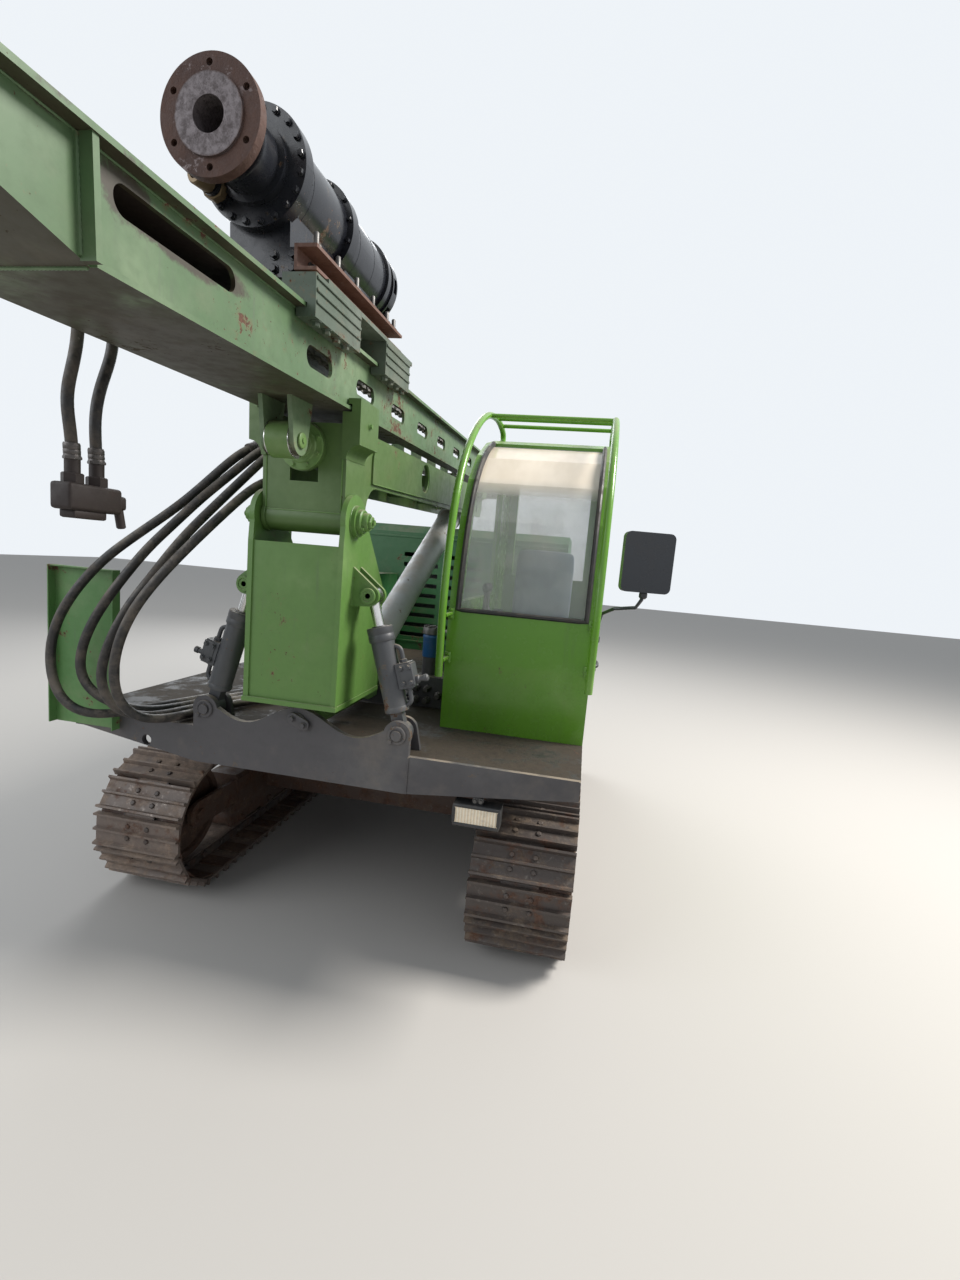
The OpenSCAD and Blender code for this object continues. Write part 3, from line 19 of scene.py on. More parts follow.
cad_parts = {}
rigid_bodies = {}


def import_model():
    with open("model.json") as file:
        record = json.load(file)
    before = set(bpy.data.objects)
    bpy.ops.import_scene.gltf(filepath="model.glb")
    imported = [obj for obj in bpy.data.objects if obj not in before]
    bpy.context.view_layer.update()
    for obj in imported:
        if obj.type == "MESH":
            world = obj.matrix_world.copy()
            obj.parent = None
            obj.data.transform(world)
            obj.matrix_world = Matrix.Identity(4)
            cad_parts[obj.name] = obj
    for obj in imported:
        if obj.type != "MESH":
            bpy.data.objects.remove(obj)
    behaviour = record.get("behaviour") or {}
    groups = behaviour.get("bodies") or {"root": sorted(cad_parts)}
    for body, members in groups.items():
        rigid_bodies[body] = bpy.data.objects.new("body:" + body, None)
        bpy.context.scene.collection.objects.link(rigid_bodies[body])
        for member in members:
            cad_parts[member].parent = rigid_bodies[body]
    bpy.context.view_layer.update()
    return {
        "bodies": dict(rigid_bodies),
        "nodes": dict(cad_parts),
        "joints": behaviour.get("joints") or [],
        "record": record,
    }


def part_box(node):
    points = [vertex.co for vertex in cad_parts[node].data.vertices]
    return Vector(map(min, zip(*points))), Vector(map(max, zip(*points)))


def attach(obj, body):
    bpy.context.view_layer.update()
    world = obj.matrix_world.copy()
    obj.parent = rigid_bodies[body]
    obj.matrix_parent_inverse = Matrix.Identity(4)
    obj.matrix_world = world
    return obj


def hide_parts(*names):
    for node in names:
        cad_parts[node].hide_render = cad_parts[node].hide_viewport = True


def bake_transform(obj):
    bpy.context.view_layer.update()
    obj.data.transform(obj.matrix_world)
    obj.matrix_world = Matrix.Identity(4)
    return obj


LOG = logging.getLogger("piling_rig")
MM = 0.001
Piece = bpy.types.Object
Colour = tuple[float, float, float]
Point = tuple[float, float, float]
SIDES = ((1, "right"), (-1, "left"))


# Shader tools


class Socket:
    """A value socket that takes part in Python arithmetic, each step one Math node."""

    def __init__(self, sheet: "Sheet", out: bpy.types.NodeSocket) -> None:
        """Wraps an output socket of a material sheet."""
        self.sheet = sheet
        self.out = out

    def __add__(self, other: "Socket | float") -> "Socket":
        """Sum."""
        return self.sheet.math("ADD", self, other)

    __radd__ = __add__

    def __sub__(self, other: "Socket | float") -> "Socket":
        """Difference."""
        return self.sheet.math("SUBTRACT", self, other)

    def __rsub__(self, other: float) -> "Socket":
        """Difference with a number first."""
        return self.sheet.math("SUBTRACT", other, self)

    def __mul__(self, other: "Socket | float") -> "Socket":
        """Product."""
        return self.sheet.math("MULTIPLY", self, other)

    __rmul__ = __mul__

    def over(self, low: float, high: float) -> "Socket":
        """A mask that rises smoothly from 0 at low to 1 at high."""
        node = self.sheet.node("ShaderNodeMapRange", {"interpolation_type": "SMOOTHSTEP"},
                               {"Value": self, "From Min": low, "From Max": high})
        return Socket(self.sheet, node.outputs["Result"])

    def most(self, other: "Socket | float") -> "Socket":
        """The larger of two values."""
        return self.sheet.math("MAXIMUM", self, other)


class Sheet:
    """One material's nodes, from object coordinates to the surface."""

    def __init__(self, name: str) -> None:
        """Starts a material that has only its shader."""
        self.material = bpy.data.materials.new(name)
        self.material.use_nodes = True
        self.tree = self.material.node_tree
        self.shader = self.tree.nodes["Principled BSDF"]
        self.place = self.node("ShaderNodeTexCoord").outputs["Object"]
        self.upward = self.axes(self.node("ShaderNodeNewGeometry").outputs["Normal"])[2]

    def node(self, kind: str, settings: dict | None = None, values: dict | None = None) -> bpy.types.Node:
        """Adds a node, sets it up, and feeds its sockets.

        Args:
            kind: Blender's name of the node type.
            settings: Properties to set first, with "stops" for a colour ramp.
            values: Numbers, colours or links of its input sockets.

        Returns:
            The node.
        """
        made = self.tree.nodes.new(kind)
        for name, value in (settings or {}).items():
            if name == "stops":
                ramp = made.color_ramp
                while len(ramp.elements) < len(value):
                    ramp.elements.new(0.5)
                for element, (place, colour) in zip(ramp.elements, value):
                    element.position = place
                    element.color = (*colour, 1)
            else:
                setattr(made, name, value)
        for key, value in (values or {}).items():
            self.feed(made.inputs[key], value)
        return made

    def feed(self, socket: bpy.types.NodeSocket, value: object) -> None:
        """Links a wrapped or plain socket to an input, or sets its colour, vector or number."""
        if isinstance(value, Socket):
            self.tree.links.new(value.out, socket)
        elif isinstance(value, bpy.types.NodeSocket):
            self.tree.links.new(value, socket)
        elif isinstance(value, tuple) and socket.type == "RGBA":
            socket.default_value = (*value, 1)
        else:
            socket.default_value = value

    def math(self, operation: str, a: "Socket | float", b: "Socket | float") -> Socket:
        """One Math node on two values."""
        node = self.node("ShaderNodeMath", {"operation": operation}, {0: a, 1: b})
        return Socket(self, node.outputs[0])

    def vector(self, operation: str, a: object, b: object = None) -> bpy.types.NodeSocket:
        """One Vector Math node, as the output that its operation fills."""
        values = {0: a} if b is None else {0: a, "Scale" if operation == "SCALE" else 1: b}
        node = self.node("ShaderNodeVectorMath", {"operation": operation}, values)
        return node.outputs["Value" if operation in ("LENGTH", "DOT_PRODUCT") else "Vector"]

    def axes(self, vector: bpy.types.NodeSocket) -> list[Socket]:
        """The X, Y and Z of a vector."""
        node = self.node("ShaderNodeSeparateXYZ", values={"Vector": vector})
        return [Socket(self, node.outputs[axis]) for axis in "XYZ"]

    def wave(self, axis: str, scale: float, bend: float = 0.0) -> Socket:
        """Soft bands that follow each other along one axis."""
        node = self.node("ShaderNodeTexWave", {"bands_direction": axis},
                         {"Vector": self.place, "Scale": scale, "Distortion": bend})
        return Socket(self, node.outputs["Fac"])

    def noise(
        self, scale: float, detail: float = 4, rough: float = 0.55, stretch: Point = (1, 1, 1),
        shift: Point = (0, 0, 0), bend: float = 0.0,
    ) -> Socket:
        """Cloudy noise in object coordinates.

        Args:
            scale: Features per metre.
            detail: Octaves.
            rough: Share of the fine octaves.
            stretch: Scale along each axis.
            shift: Where the pattern starts.
            bend: Distortion.

        Returns:
            A value about 0.5.
        """
        mapping = self.node(
            "ShaderNodeMapping", values={"Vector": self.place, "Scale": stretch, "Location": shift})
        node = self.node(
            "ShaderNodeTexNoise",
            values={"Vector": mapping.outputs[0], "Scale": scale, "Detail": detail,
                    "Roughness": rough, "Distortion": bend},
        )
        return Socket(self, node.outputs["Fac"])

    def mix(self, a: object, b: object, share: "Socket | float") -> bpy.types.NodeSocket:
        """Blends from colour or link a to colour or link b by a share."""
        node = self.node("ShaderNodeMix", {"data_type": "RGBA"}, {0: share, 6: a, 7: b})
        return node.outputs[2]

    def bump(self, height: Socket, depth: float, strength: float = 0.6) -> None:
        """Feeds the shader's normal from a height in metres times depth."""
        node = self.node(
            "ShaderNodeBump", values={"Height": height, "Distance": depth, "Strength": strength})
        self.feed(self.shader.inputs["Normal"], node.outputs[0])

    def surface(self, **values: object) -> bpy.types.Material:
        """Feeds the shader by socket names written with underscores, and returns the material."""
        for name, value in values.items():
            self.feed(self.shader.inputs[name.replace("_", " ").title().replace("Ior", "IOR")], value)
        return self.material


# Finishes


DUST: Colour = (0.33, 0.27, 0.20)
RUST_DARK: Colour = (0.065, 0.028, 0.016)
RUST_LIGHT: Colour = (0.135, 0.060, 0.030)
# Painted shade for faces that look down.
UNDERSIDE_SHADE: Colour = (0.044, 0.036, 0.021)


@dataclass(frozen=True)
class WornPaint:
    """Weathered machine enamel: faded fields, dusty upward faces, runs of dirt, chips to rust, painted
    shade in patches on faces that look down.
    """

    name: str
    fresh: Colour
    faded: Colour
    fading: float = 0.5
    chips: float = 0.5
    rust: float = 0.3
    dust: float = 0.6
    gloss: float = 0.42
    dents: float = 0.4
    runs: float = 0.5
    stains: tuple = ()
    # Share of painted shade on faces that look down.
    under: float = 0.0

    def make(self) -> bpy.types.Material:
        """Builds the paint, worn where such a machine wears."""
        s = Sheet(self.name)
        fields = s.noise(1.7, 5, 0.6).over(0.56 - 0.2 * self.fading, 0.72)
        colour = s.mix(self.fresh, self.faded, fields)
        mottle = s.noise(26, 4, 0.6, shift=(3, 1, 7)).over(0.35, 0.75)
        darker = tuple(c * 0.72 for c in self.fresh)
        colour = s.mix(colour, darker, mottle * (0.35 * self.runs + 0.1))
        runs = s.noise(1, 5, 0.7, stretch=(38, 38, 2.2), shift=(1, 5, 2)).over(0.52, 0.74)
        patch = s.noise(2.3, 2, 0.5, shift=(9, 4, 1)).over(0.42, 0.62)
        grime = tuple(0.45 * c + 0.02 for c in self.faded)
        upright = 1 - s.upward.over(0.3, 0.8)
        colour = s.mix(colour, grime, runs * patch * upright * self.runs)
        spots = s.noise(70, 3, 0.7, shift=(2, 2, 5))
        zones = s.noise(3.1, 3, 0.6, shift=(7, 3, 3))
        worn = s.noise(19, 4, 0.75, shift=(5, 8, 2))
        small = (spots + zones * 0.55).over(1.03 - 0.09 * self.chips, 1.05 - 0.09 * self.chips)
        broad = (worn + zones * 0.8).over(1.13 - 0.10 * self.rust, 1.16 - 0.10 * self.rust)
        chipped = small.most(broad)
        rusty = s.mix(RUST_DARK, RUST_LIGHT, s.noise(95, 4, 0.7, shift=(4, 4, 4)).over(0.35, 0.7))
        halo = (worn + zones * 0.8).over(1.05 - 0.10 * self.rust, 1.16 - 0.10 * self.rust)
        colour = s.mix(colour, (0.16, 0.105, 0.05), halo * 0.55)
        colour = s.mix(colour, rusty, chipped)
        for centre, size, tone in self.stains:
            far = s.vector("LENGTH", s.vector("DIVIDE", s.vector("SUBTRACT", s.place, centre), size))
            edge = Socket(s, far) + (worn + spots * 0.5) * 0.9
            colour = s.mix(colour, tone, (1 - edge.over(1.12, 1.46)) * 0.9)
        # Painted shade: darker patches on the faces that look down.
        if self.under > 0:
            underside_shade_mask = s.noise(3.4, 5, 0.7, shift=(5, 6, 2)).over(0.22, 0.50) * (0 - s.upward).over(0.4, 0.9)
            colour = s.mix(colour, UNDERSIDE_SHADE, underside_shade_mask * self.under)
        flat = s.upward.over(0.5, 0.95)
        drift = s.noise(7, 5, 0.65, shift=(6, 1, 9)).over(0.3, 0.66)
        settled = flat * drift * self.dust
        film = s.noise(4, 5, 0.7, shift=(8, 8, 2)).over(0.5, 0.78) * (0.22 * self.dust)
        colour = s.mix(colour, DUST, settled.most(film))
        rough = self.gloss + mottle * 0.12 + settled * 0.4 + chipped * 0.35 + fields * 0.1
        s.bump(spots * 0.12 - chipped * 0.8 + s.noise(9, 3, 0.5) * self.dents, 0.0012)
        return s.surface(base_color=colour, roughness=rough, metallic=0.0)


@dataclass(frozen=True)
class MuddySteel:
    """Bare or painted steel under dried mud and rust, as on tracks and the frames beside them."""

    name: str
    steel: Colour = (0.075, 0.062, 0.056)
    mud: Colour = (0.235, 0.175, 0.125)
    muddy: float = 0.5
    rust: float = 0.5
    shine: float = 0.5

    def make(self) -> bpy.types.Material:
        """Builds steel with patches of rust, dry mud on it and rubbed spots."""
        s = Sheet(self.name)
        rust = s.noise(11, 6, 0.7, shift=(1, 2, 3)).over(0.60 - 0.2 * self.rust, 0.70)
        rusty = s.mix(RUST_DARK, (0.14, 0.066, 0.036), s.noise(60, 4, 0.7).over(0.35, 0.7))
        colour = s.mix(self.steel, rusty, rust)
        rubbed = s.noise(42, 4, 0.7, shift=(5, 3, 1)).over(0.62 - 0.12 * self.shine, 0.72)
        colour = s.mix(colour, (0.24, 0.215, 0.19), rubbed * 0.55)
        cake = s.noise(6.5, 6, 0.72, shift=(2, 7, 4)) + s.upward.over(0.2, 0.9) * 0.07
        mud = cake.over(0.60 - 0.16 * self.muddy, 0.68)
        tone = s.noise(34, 5, 0.7, shift=(8, 1, 6)).over(0.3, 0.72)
        dark = tuple(c * 0.55 for c in self.mud)
        colour = s.mix(colour, s.mix(dark, self.mud, tone), mud * 0.85)
        rough = 0.55 + rust * 0.25 + mud * 0.3 - rubbed * 0.2
        metal = (1 - mud) * rubbed * 0.6
        height = s.noise(90, 4, 0.7) * 0.5 + mud * tone * 1.4 + rust * 0.3
        s.bump(height, 0.002, 0.7)
        return s.surface(base_color=colour, roughness=rough, metallic=metal)


@dataclass(frozen=True)
class BareMetal:
    """Bright, grey or blackened metal with light scratches and a film of dirt."""

    name: str
    colour: Colour
    metallic: float = 1.0
    rough: float = 0.28
    dirt: float = 0.3
    dirt_colour: Colour = (0.10, 0.075, 0.055)

    def make(self) -> bpy.types.Material:
        """Builds metal whose gloss and tone vary."""
        s = Sheet(self.name)
        film = s.noise(8, 5, 0.7, shift=(3, 3, 1)).over(0.66 - 0.2 * self.dirt, 0.80)
        cloud = s.noise(31, 4, 0.6, shift=(1, 6, 2)).over(0.3, 0.75)
        deep = tuple(c * 0.7 for c in self.colour)
        colour = s.mix(self.colour, deep, cloud * 0.6)
        colour = s.mix(colour, self.dirt_colour, film * 0.8)
        lines = s.noise(5, 3, 0.6, stretch=(60, 60, 3))
        s.bump(lines * 0.4 + cloud * 0.3, 0.0004, 0.5)
        rough = self.rough + cloud * 0.16 + film * 0.4
        return s.surface(base_color=colour, roughness=rough, metallic=self.metallic * (1 - film))


@dataclass(frozen=True)
class RustyCasting:
    """A rust-brown casting whose raised middle is rubbed grey, by distance from an axis."""

    name: str
    centre: Point
    along: Point
    grey_radius: float
    ground: Colour = (0.070, 0.032, 0.022)
    grey: Colour = (0.175, 0.150, 0.155)

    def make(self) -> bpy.types.Material:
        """Builds rust with pits and lighter scale, grey inside the radius."""
        s = Sheet(self.name)
        away = s.vector("SUBTRACT", s.place, self.centre)
        part = s.vector("SCALE", self.along, s.vector("DOT_PRODUCT", away, self.along))
        size = s.vector("LENGTH", s.vector("SUBTRACT", away, part))
        radius = Socket(s, size) + s.noise(30, 3, 0.6) * 0.012
        inside = 1 - radius.over(self.grey_radius, self.grey_radius + 0.008)
        scale = s.noise(48, 5, 0.75, shift=(4, 2, 2)).over(0.38, 0.68)
        broad = s.noise(9, 4, 0.6, shift=(1, 1, 8)).over(0.4, 0.66)
        light = (0.150, 0.088, 0.070)
        colour = s.mix(self.ground, light, scale * 0.45)
        colour = s.mix(colour, (0.045, 0.022, 0.018), broad * 0.6)
        grey = s.mix(self.grey, (0.060, 0.045, 0.044), scale * 0.75)
        flakes = s.noise(26, 6, 0.8, shift=(6, 2, 3)).over(0.57, 0.62) * broad
        colour = s.mix(colour, (0.33, 0.27, 0.27), flakes * 0.75)
        colour = s.mix(colour, grey, inside)
        s.bump(scale * 0.8 + s.noise(160, 3, 0.7) * 0.5, 0.0015, 0.8)
        rough = 0.72 + scale * 0.15 - inside * 0.14
        return s.surface(base_color=colour, roughness=rough, metallic=inside * 0.35)


@dataclass(frozen=True)
class Rubber:
    """Black hose or gasket rubber, greyed by dust, with faint cloth marks."""

    name: str
    colour: Colour = (0.016, 0.015, 0.015)
    dust: float = 0.4
    wrap: float = 0.0

    def make(self) -> bpy.types.Material:
        """Builds rubber, with a spiral wrap mark along its UV map where wrap is over 0."""
        s = Sheet(self.name)
        grey = s.noise(13, 5, 0.7, shift=(2, 9, 1)).over(0.42, 0.72)
        colour = s.mix(self.colour, (0.12, 0.10, 0.082), grey * self.dust)
        dry = s.noise(5, 5, 0.75, shift=(7, 2, 6)).over(0.44, 0.60) * s.upward.over(-0.2, 0.7)
        colour = s.mix(colour, (0.21, 0.18, 0.145), dry * self.dust)
        height = s.noise(150, 3, 0.6) * 0.5
        if self.wrap > 0:
            along, around, _ = s.axes(s.node("ShaderNodeUVMap").outputs[0])
            turns = along + around * self.wrap
            wave = s.math("SINE", turns * (2 * math.pi), 0)
            height = height + wave * 0.35
            scuff = s.noise(55, 4, 0.75, shift=(4, 1, 1)).over(0.66, 0.72)
            colour = s.mix(colour, (0.21, 0.19, 0.165), scuff * 0.55)
        s.bump(height, 0.0006, 0.6)
        return s.surface(base_color=colour, roughness=0.48 + grey * 0.4)


@dataclass(frozen=True)
class Pane:
    """Clear glass by alpha, greyer and rougher where dust has dried on it."""

    name: str
    tint: Colour = (0.66, 0.69, 0.67)
    clear: float = 0.23
    film: float = 0.15
    # A cream blind at the top of the screen, made pale partly as painted sun glare.
    blind: tuple[float, float, float, float, float] | None = None

    def make(self) -> bpy.types.Material:
        """Builds glass that shows what is behind it, with a cream blind where one is given, its paleness
        partly painted sun glare.
        """
        s = Sheet(self.name)
        dirt = s.noise(3.2, 5, 0.6, shift=(1, 4, 1)).over(0.40, 0.80)
        marks = s.noise(24, 4, 0.7, stretch=(1, 1, 0.3)).over(0.5, 0.8)
        colour = s.mix(self.tint, (0.62, 0.60, 0.54), dirt)
        alpha = self.clear + dirt * self.film + marks * (self.film * 0.3)
        # The cream band: a blind, paler and nearly opaque as painted glare on the glass.
        if self.blind is not None:
            low, high, behind, left, right = self.blind
            across, depth, height = s.axes(s.place)
            shade = height.over(low, high) * (1 - depth.over(behind, behind + 0.01))
            shade = shade * across.over(left, left + 0.004) * (1 - across.over(right - 0.004, right))
            streak = s.noise(2.4, 3, 0.6, stretch=(2.5, 1, 1)).over(0.35, 0.7)
            colour = s.mix(colour, s.mix((0.80, 0.70, 0.57), (0.92, 0.82, 0.69), streak), shade)
            alpha = alpha.most(shade * 0.97)
        s.material.surface_render_method = "BLENDED"
        return s.surface(base_color=colour, roughness=0.05 + dirt * 0.14, alpha=alpha)


@dataclass(frozen=True)
class ShadedDustyDeck:
    """Deck plate under a skin of trodden dirt, plate and dirt painted dark as shade on the deck."""

    name: str
    # Near-black plate and dirt: painted shade on the deck.
    plate: Colour = (0.030, 0.028, 0.026)
    dust: Colour = (0.040, 0.029, 0.018)

    def make(self) -> bpy.types.Material:
        """Builds slate paint on the sides, with dirt and worn patches on top."""
        s = Sheet(self.name)
        tread = s.noise(5.5, 6, 0.72, shift=(3, 1, 2))
        fine = s.noise(38, 5, 0.75, shift=(2, 5, 2))
        top = s.upward.over(0.6, 0.95)
        colour = s.mix(self.plate, tuple(c * 1.7 for c in self.plate), fine.over(0.45, 0.75) * 0.5)
        dust = s.mix(self.dust, tuple(c * 0.55 for c in self.dust), fine.over(0.45, 0.7))
        cover = top * tread.over(0.36, 0.50)
        colour = s.mix(colour, dust, cover)
        rust = (fine + tread * 0.6).over(0.98, 1.0)
        colour = s.mix(colour, RUST_LIGHT, rust * 0.7)
        s.bump(fine * cover + tread * 0.5, 0.002, 0.5)
        return s.surface(base_color=colour, roughness=0.5 + cover * 0.4)


@dataclass(frozen=True)
class SeatCloth:
    """Woven seat cloth or vinyl with a fine weave and faded tops."""

    name: str
    colour: Colour = (0.15, 0.20, 0.26)
    faded: Colour = (0.36, 0.40, 0.44)

    def make(self) -> bpy.types.Material:
        """Builds cloth with its weave in the bump."""
        s = Sheet(self.name)
        weave = s.wave("X", 130.0, 0.5) * s.wave("Z", 130.0, 0.5)
        fade = s.noise(6, 4, 0.6).over(0.35, 0.7) * 0.6 + s.upward.over(0.3, 1.0) * 0.3
        colour = s.mix(s.mix(self.colour, self.faded, fade), (0.03, 0.045, 0.06), weave * 0.35)
        s.bump(weave + s.noise(22, 3, 0.5) * 0.6, 0.0008, 0.5)
        return s.surface(base_color=colour, roughness=0.86)


@dataclass(frozen=True)
class Plastic:
    """Moulded black or coloured plastic with a fine grain and dust."""

    name: str
    colour: Colour = (0.022, 0.023, 0.025)
    rough: float = 0.45
    dust: float = 0.35

    def make(self) -> bpy.types.Material:
        """Builds grained plastic."""
        s = Sheet(self.name)
        grain = s.noise(260, 2, 0.5)
        film = s.noise(9, 5, 0.7, shift=(4, 4, 9)).over(0.45, 0.75)
        top = s.upward.over(0.4, 1.0)
        share = (film * 0.4 + top * film * 0.6) * self.dust
        colour = s.mix(self.colour, DUST, share)
        s.bump(grain, 0.0003, 0.4)
        return s.surface(base_color=colour, roughness=self.rough + film * 0.25)


@dataclass(frozen=True)
class LampLens:
    """Ribbed lens of the work lamp, yellowed."""

    name: str
    colour: Colour = (0.80, 0.66, 0.47)

    def make(self) -> bpy.types.Material:
        """Builds pale glass with upright ribs, their crests painted paler as highlights."""
        s = Sheet(self.name)
        rib = s.wave("X", 26.0)
        dirt = s.noise(30, 5, 0.7).over(0.5, 0.75)
        # Paler rib crests are painted highlights; the ribs' relief is in the bump.
        colour = s.mix(self.colour, (0.90, 0.82, 0.66), rib)
        colour = s.mix(colour, (0.12, 0.095, 0.065), dirt * 0.4)
        s.bump(rib, 0.003, 0.8)
        return s.surface(base_color=colour, roughness=0.16 + dirt * 0.3)


class Finish(Enum):
    """Every finish on the machine."""

    MAST = WornPaint("mast_paint", (0.088, 0.158, 0.070), (0.185, 0.255, 0.145), 0.6, 0.75, 0.5,
                     0.6, 0.42, 0.9, 0.9)
    COLUMN = WornPaint("column_paint", (0.100, 0.205, 0.046), (0.165, 0.275, 0.090), 0.35, 0.2, -0.4,
                       0.7, 0.4, 0.5, 0.45)
    # A darker copy of the column's paint: painted shade on the cradle.
    CRADLE_SHADED = WornPaint("cradle_paint_shaded", (0.075, 0.140, 0.035), (0.125, 0.195, 0.070), 0.35, 0.2, -0.4,
                       0.6, 0.4, 0.5, 0.45)
    CAB = WornPaint("cab_paint", (0.120, 0.300, 0.024), (0.185, 0.350, 0.075), 0.1, 0.1, -0.4,
                    0.45, 0.19, 0.25, 0.25)
    HOUSING = WornPaint("housing_paint", (0.030, 0.135, 0.042), (0.06, 0.19, 0.075), 0.4, 0.3, 0.1,
                        0.8, 0.38, 0.4, 0.5)
    SLATE = WornPaint("slate_paint", (0.066, 0.063, 0.067), (0.100, 0.097, 0.098), 0.4, 0.3, 0.0,
                      0.75, 0.46, 0.5, 0.5)
    GUARD = WornPaint("guard_paint", (0.085, 0.21, 0.06), (0.17, 0.28, 0.12), 0.5, 0.5, 0.4,
                      0.8, 0.5, 0.5, 0.7)
    SLED = WornPaint("sled_paint", (0.072, 0.100, 0.070), (0.125, 0.150, 0.120), 0.6, 0.9, 0.6,
                     0.9, 0.55, 0.5, 0.8)
    BLACK = WornPaint("head_paint", (0.009, 0.010, 0.014), (0.020, 0.022, 0.028), 0.4, 0.4, 0.0,
                      0.16, 0.17, 0.3, 0.4)
    CYLINDER = WornPaint("cylinder_paint", (0.060, 0.063, 0.068), (0.115, 0.118, 0.122), 0.4, 0.3,
                         0.1, 0.7, 0.4, 0.3, 0.4)
    PALE = WornPaint("pale_cylinder_paint", (0.40, 0.42, 0.42), (0.52, 0.53, 0.51), 0.5, 0.3, 0.2,
                     0.7, 0.36, 0.2, 0.4)
    TRACK = MuddySteel("track_steel", (0.068, 0.054, 0.047), (0.21, 0.155, 0.11), 0.5, 0.5, 0.55)
    DUSTY = MuddySteel("dusty_track_steel", (0.155, 0.120, 0.100), (0.36, 0.27, 0.205), 0.85, 0.4, 0.8)
    FRAME = MuddySteel("frame_steel", (0.085, 0.052, 0.038), (0.20, 0.13, 0.085), 0.5, 0.9, 0.2)
    CHAIN = MuddySteel("chain_steel", (0.20, 0.195, 0.185), (0.42, 0.385, 0.33), 0.6, 0.3, 0.5)
    BRACKET = MuddySteel("bracket_rust", (0.13, 0.062, 0.042), (0.24, 0.17, 0.13), 0.35, 1.0, 0.3)
    CHROME = BareMetal("chrome_rod", (0.72, 0.71, 0.69), 1.0, 0.16, 0.35)
    BOLT = BareMetal("bolt_steel", (0.13, 0.125, 0.12), 0.8, 0.42, 0.5)
    GREASY = BareMetal("greasy_steel", (0.11, 0.10, 0.095), 0.7, 0.38, 0.7)
    # Near-black oily steel; on the chain tray it is painted shade.
    OILY_AND_SHADE = BareMetal("oily_block_and_shade", (0.020, 0.012, 0.010), 0.1, 0.55, 0.5, (0.045, 0.024, 0.018))
    BRASS = BareMetal("dull_brass", (0.20, 0.145, 0.085), 0.6, 0.5, 0.8)
    ENGINE = BareMetal("engine_block", (0.10, 0.10, 0.105), 0.3, 0.5, 0.6)
    HOSE = Rubber("hose_rubber", (0.012, 0.011, 0.011), dust=0.8, wrap=1.0)
    GASKET = Rubber("gasket_rubber", (0.012, 0.012, 0.013), 0.3)
    GLASS = Pane("cab_window_glass", blind=(2.05, 2.20, -0.36, 0.366, 0.970))
    DOOR_GLASS = Pane("door_window_glass", (0.28, 0.33, 0.32), 0.14, 0.10)
    DECK = ShadedDustyDeck("shaded_dusty_deck")
    CLOTH = SeatCloth("seat_cloth")
    PLASTIC = Plastic("black_plastic")
    SHELL = Plastic("mirror_shell", (0.026, 0.029, 0.035), 0.22, 0.08)
    BLUE = Plastic("filter_blue", (0.02, 0.11, 0.30), 0.35, 0.4)
    WHITE = Plastic("white_hose", (0.55, 0.54, 0.50), 0.4, 0.5)
    LENS = LampLens("lamp_lens")
    MIRROR = BareMetal("mirror_glass", (0.75, 0.77, 0.78), 1.0, 0.04, 0.15)


MADE: dict[str, bpy.types.Material] = {}


def material(finish: Finish) -> bpy.types.Material:
    """The material of a finish, built the first time it is asked for."""
    if finish.name not in MADE:
        MADE[finish.name] = finish.value.make()
    return MADE[finish.name]


# Places


@dataclass(frozen=True)
class Datum:
    """The machine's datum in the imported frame, found from the cross plate's lowest corner."""

    shift: Vector = field(default_factory=Vector)
    from_plate: ClassVar[Point] = (1.050, 0.215, 0.0)

    @classmethod
    def found(cls) -> "Datum":
        """Reads the datum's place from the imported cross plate."""
        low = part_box("cross_plate")[0]
        return cls(Vector((low.x, low.y, 0.0)) + Vector(cls.from_plate))

    def at(self, x: float, y: float, z: float) -> Vector:
        """A point given in datum millimetres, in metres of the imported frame."""
        return Vector((x, y, z)) * MM + self.shift

    def matrix(self) -> Matrix:
        """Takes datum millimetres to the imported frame."""
        return Matrix.Translation(self.shift) @ Matrix.Scale(MM, 4)


@dataclass(frozen=True)
class MastFrame:
    """The frame of mast, cradle and head, from the raising pin and the head's feed axis."""

    pin: Vector
    along: Vector
    up: Vector

    @classmethod
    def found(cls, frame: dict) -> "MastFrame":
        joints = {joint["name"]: joint for joint in frame["joints"]}
        pin = Vector(joints["mast_raise"]["pos_m"])
        along = Vector(joints["head_slide"]["axis"]).normalized()
        if along.y < 0:
            along = -along
        return cls(pin, along, Vector((1, 0, 0)).cross(along))

    def at(self, x: float, y: float, z: float) -> Vector:
        """A point given in mast millimetres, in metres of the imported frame."""
        return self.pin + (Vector((1, 0, 0)) * x + self.along * y + self.up * z) * MM

    def matrix(self) -> Matrix:
        """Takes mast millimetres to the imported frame."""
        turn = Matrix((Vector((1, 0, 0)), self.along, self.up)).transposed().to_4x4()
        return Matrix.Translation(self.pin) @ turn @ Matrix.Scale(MM, 4)


# Modelling tools


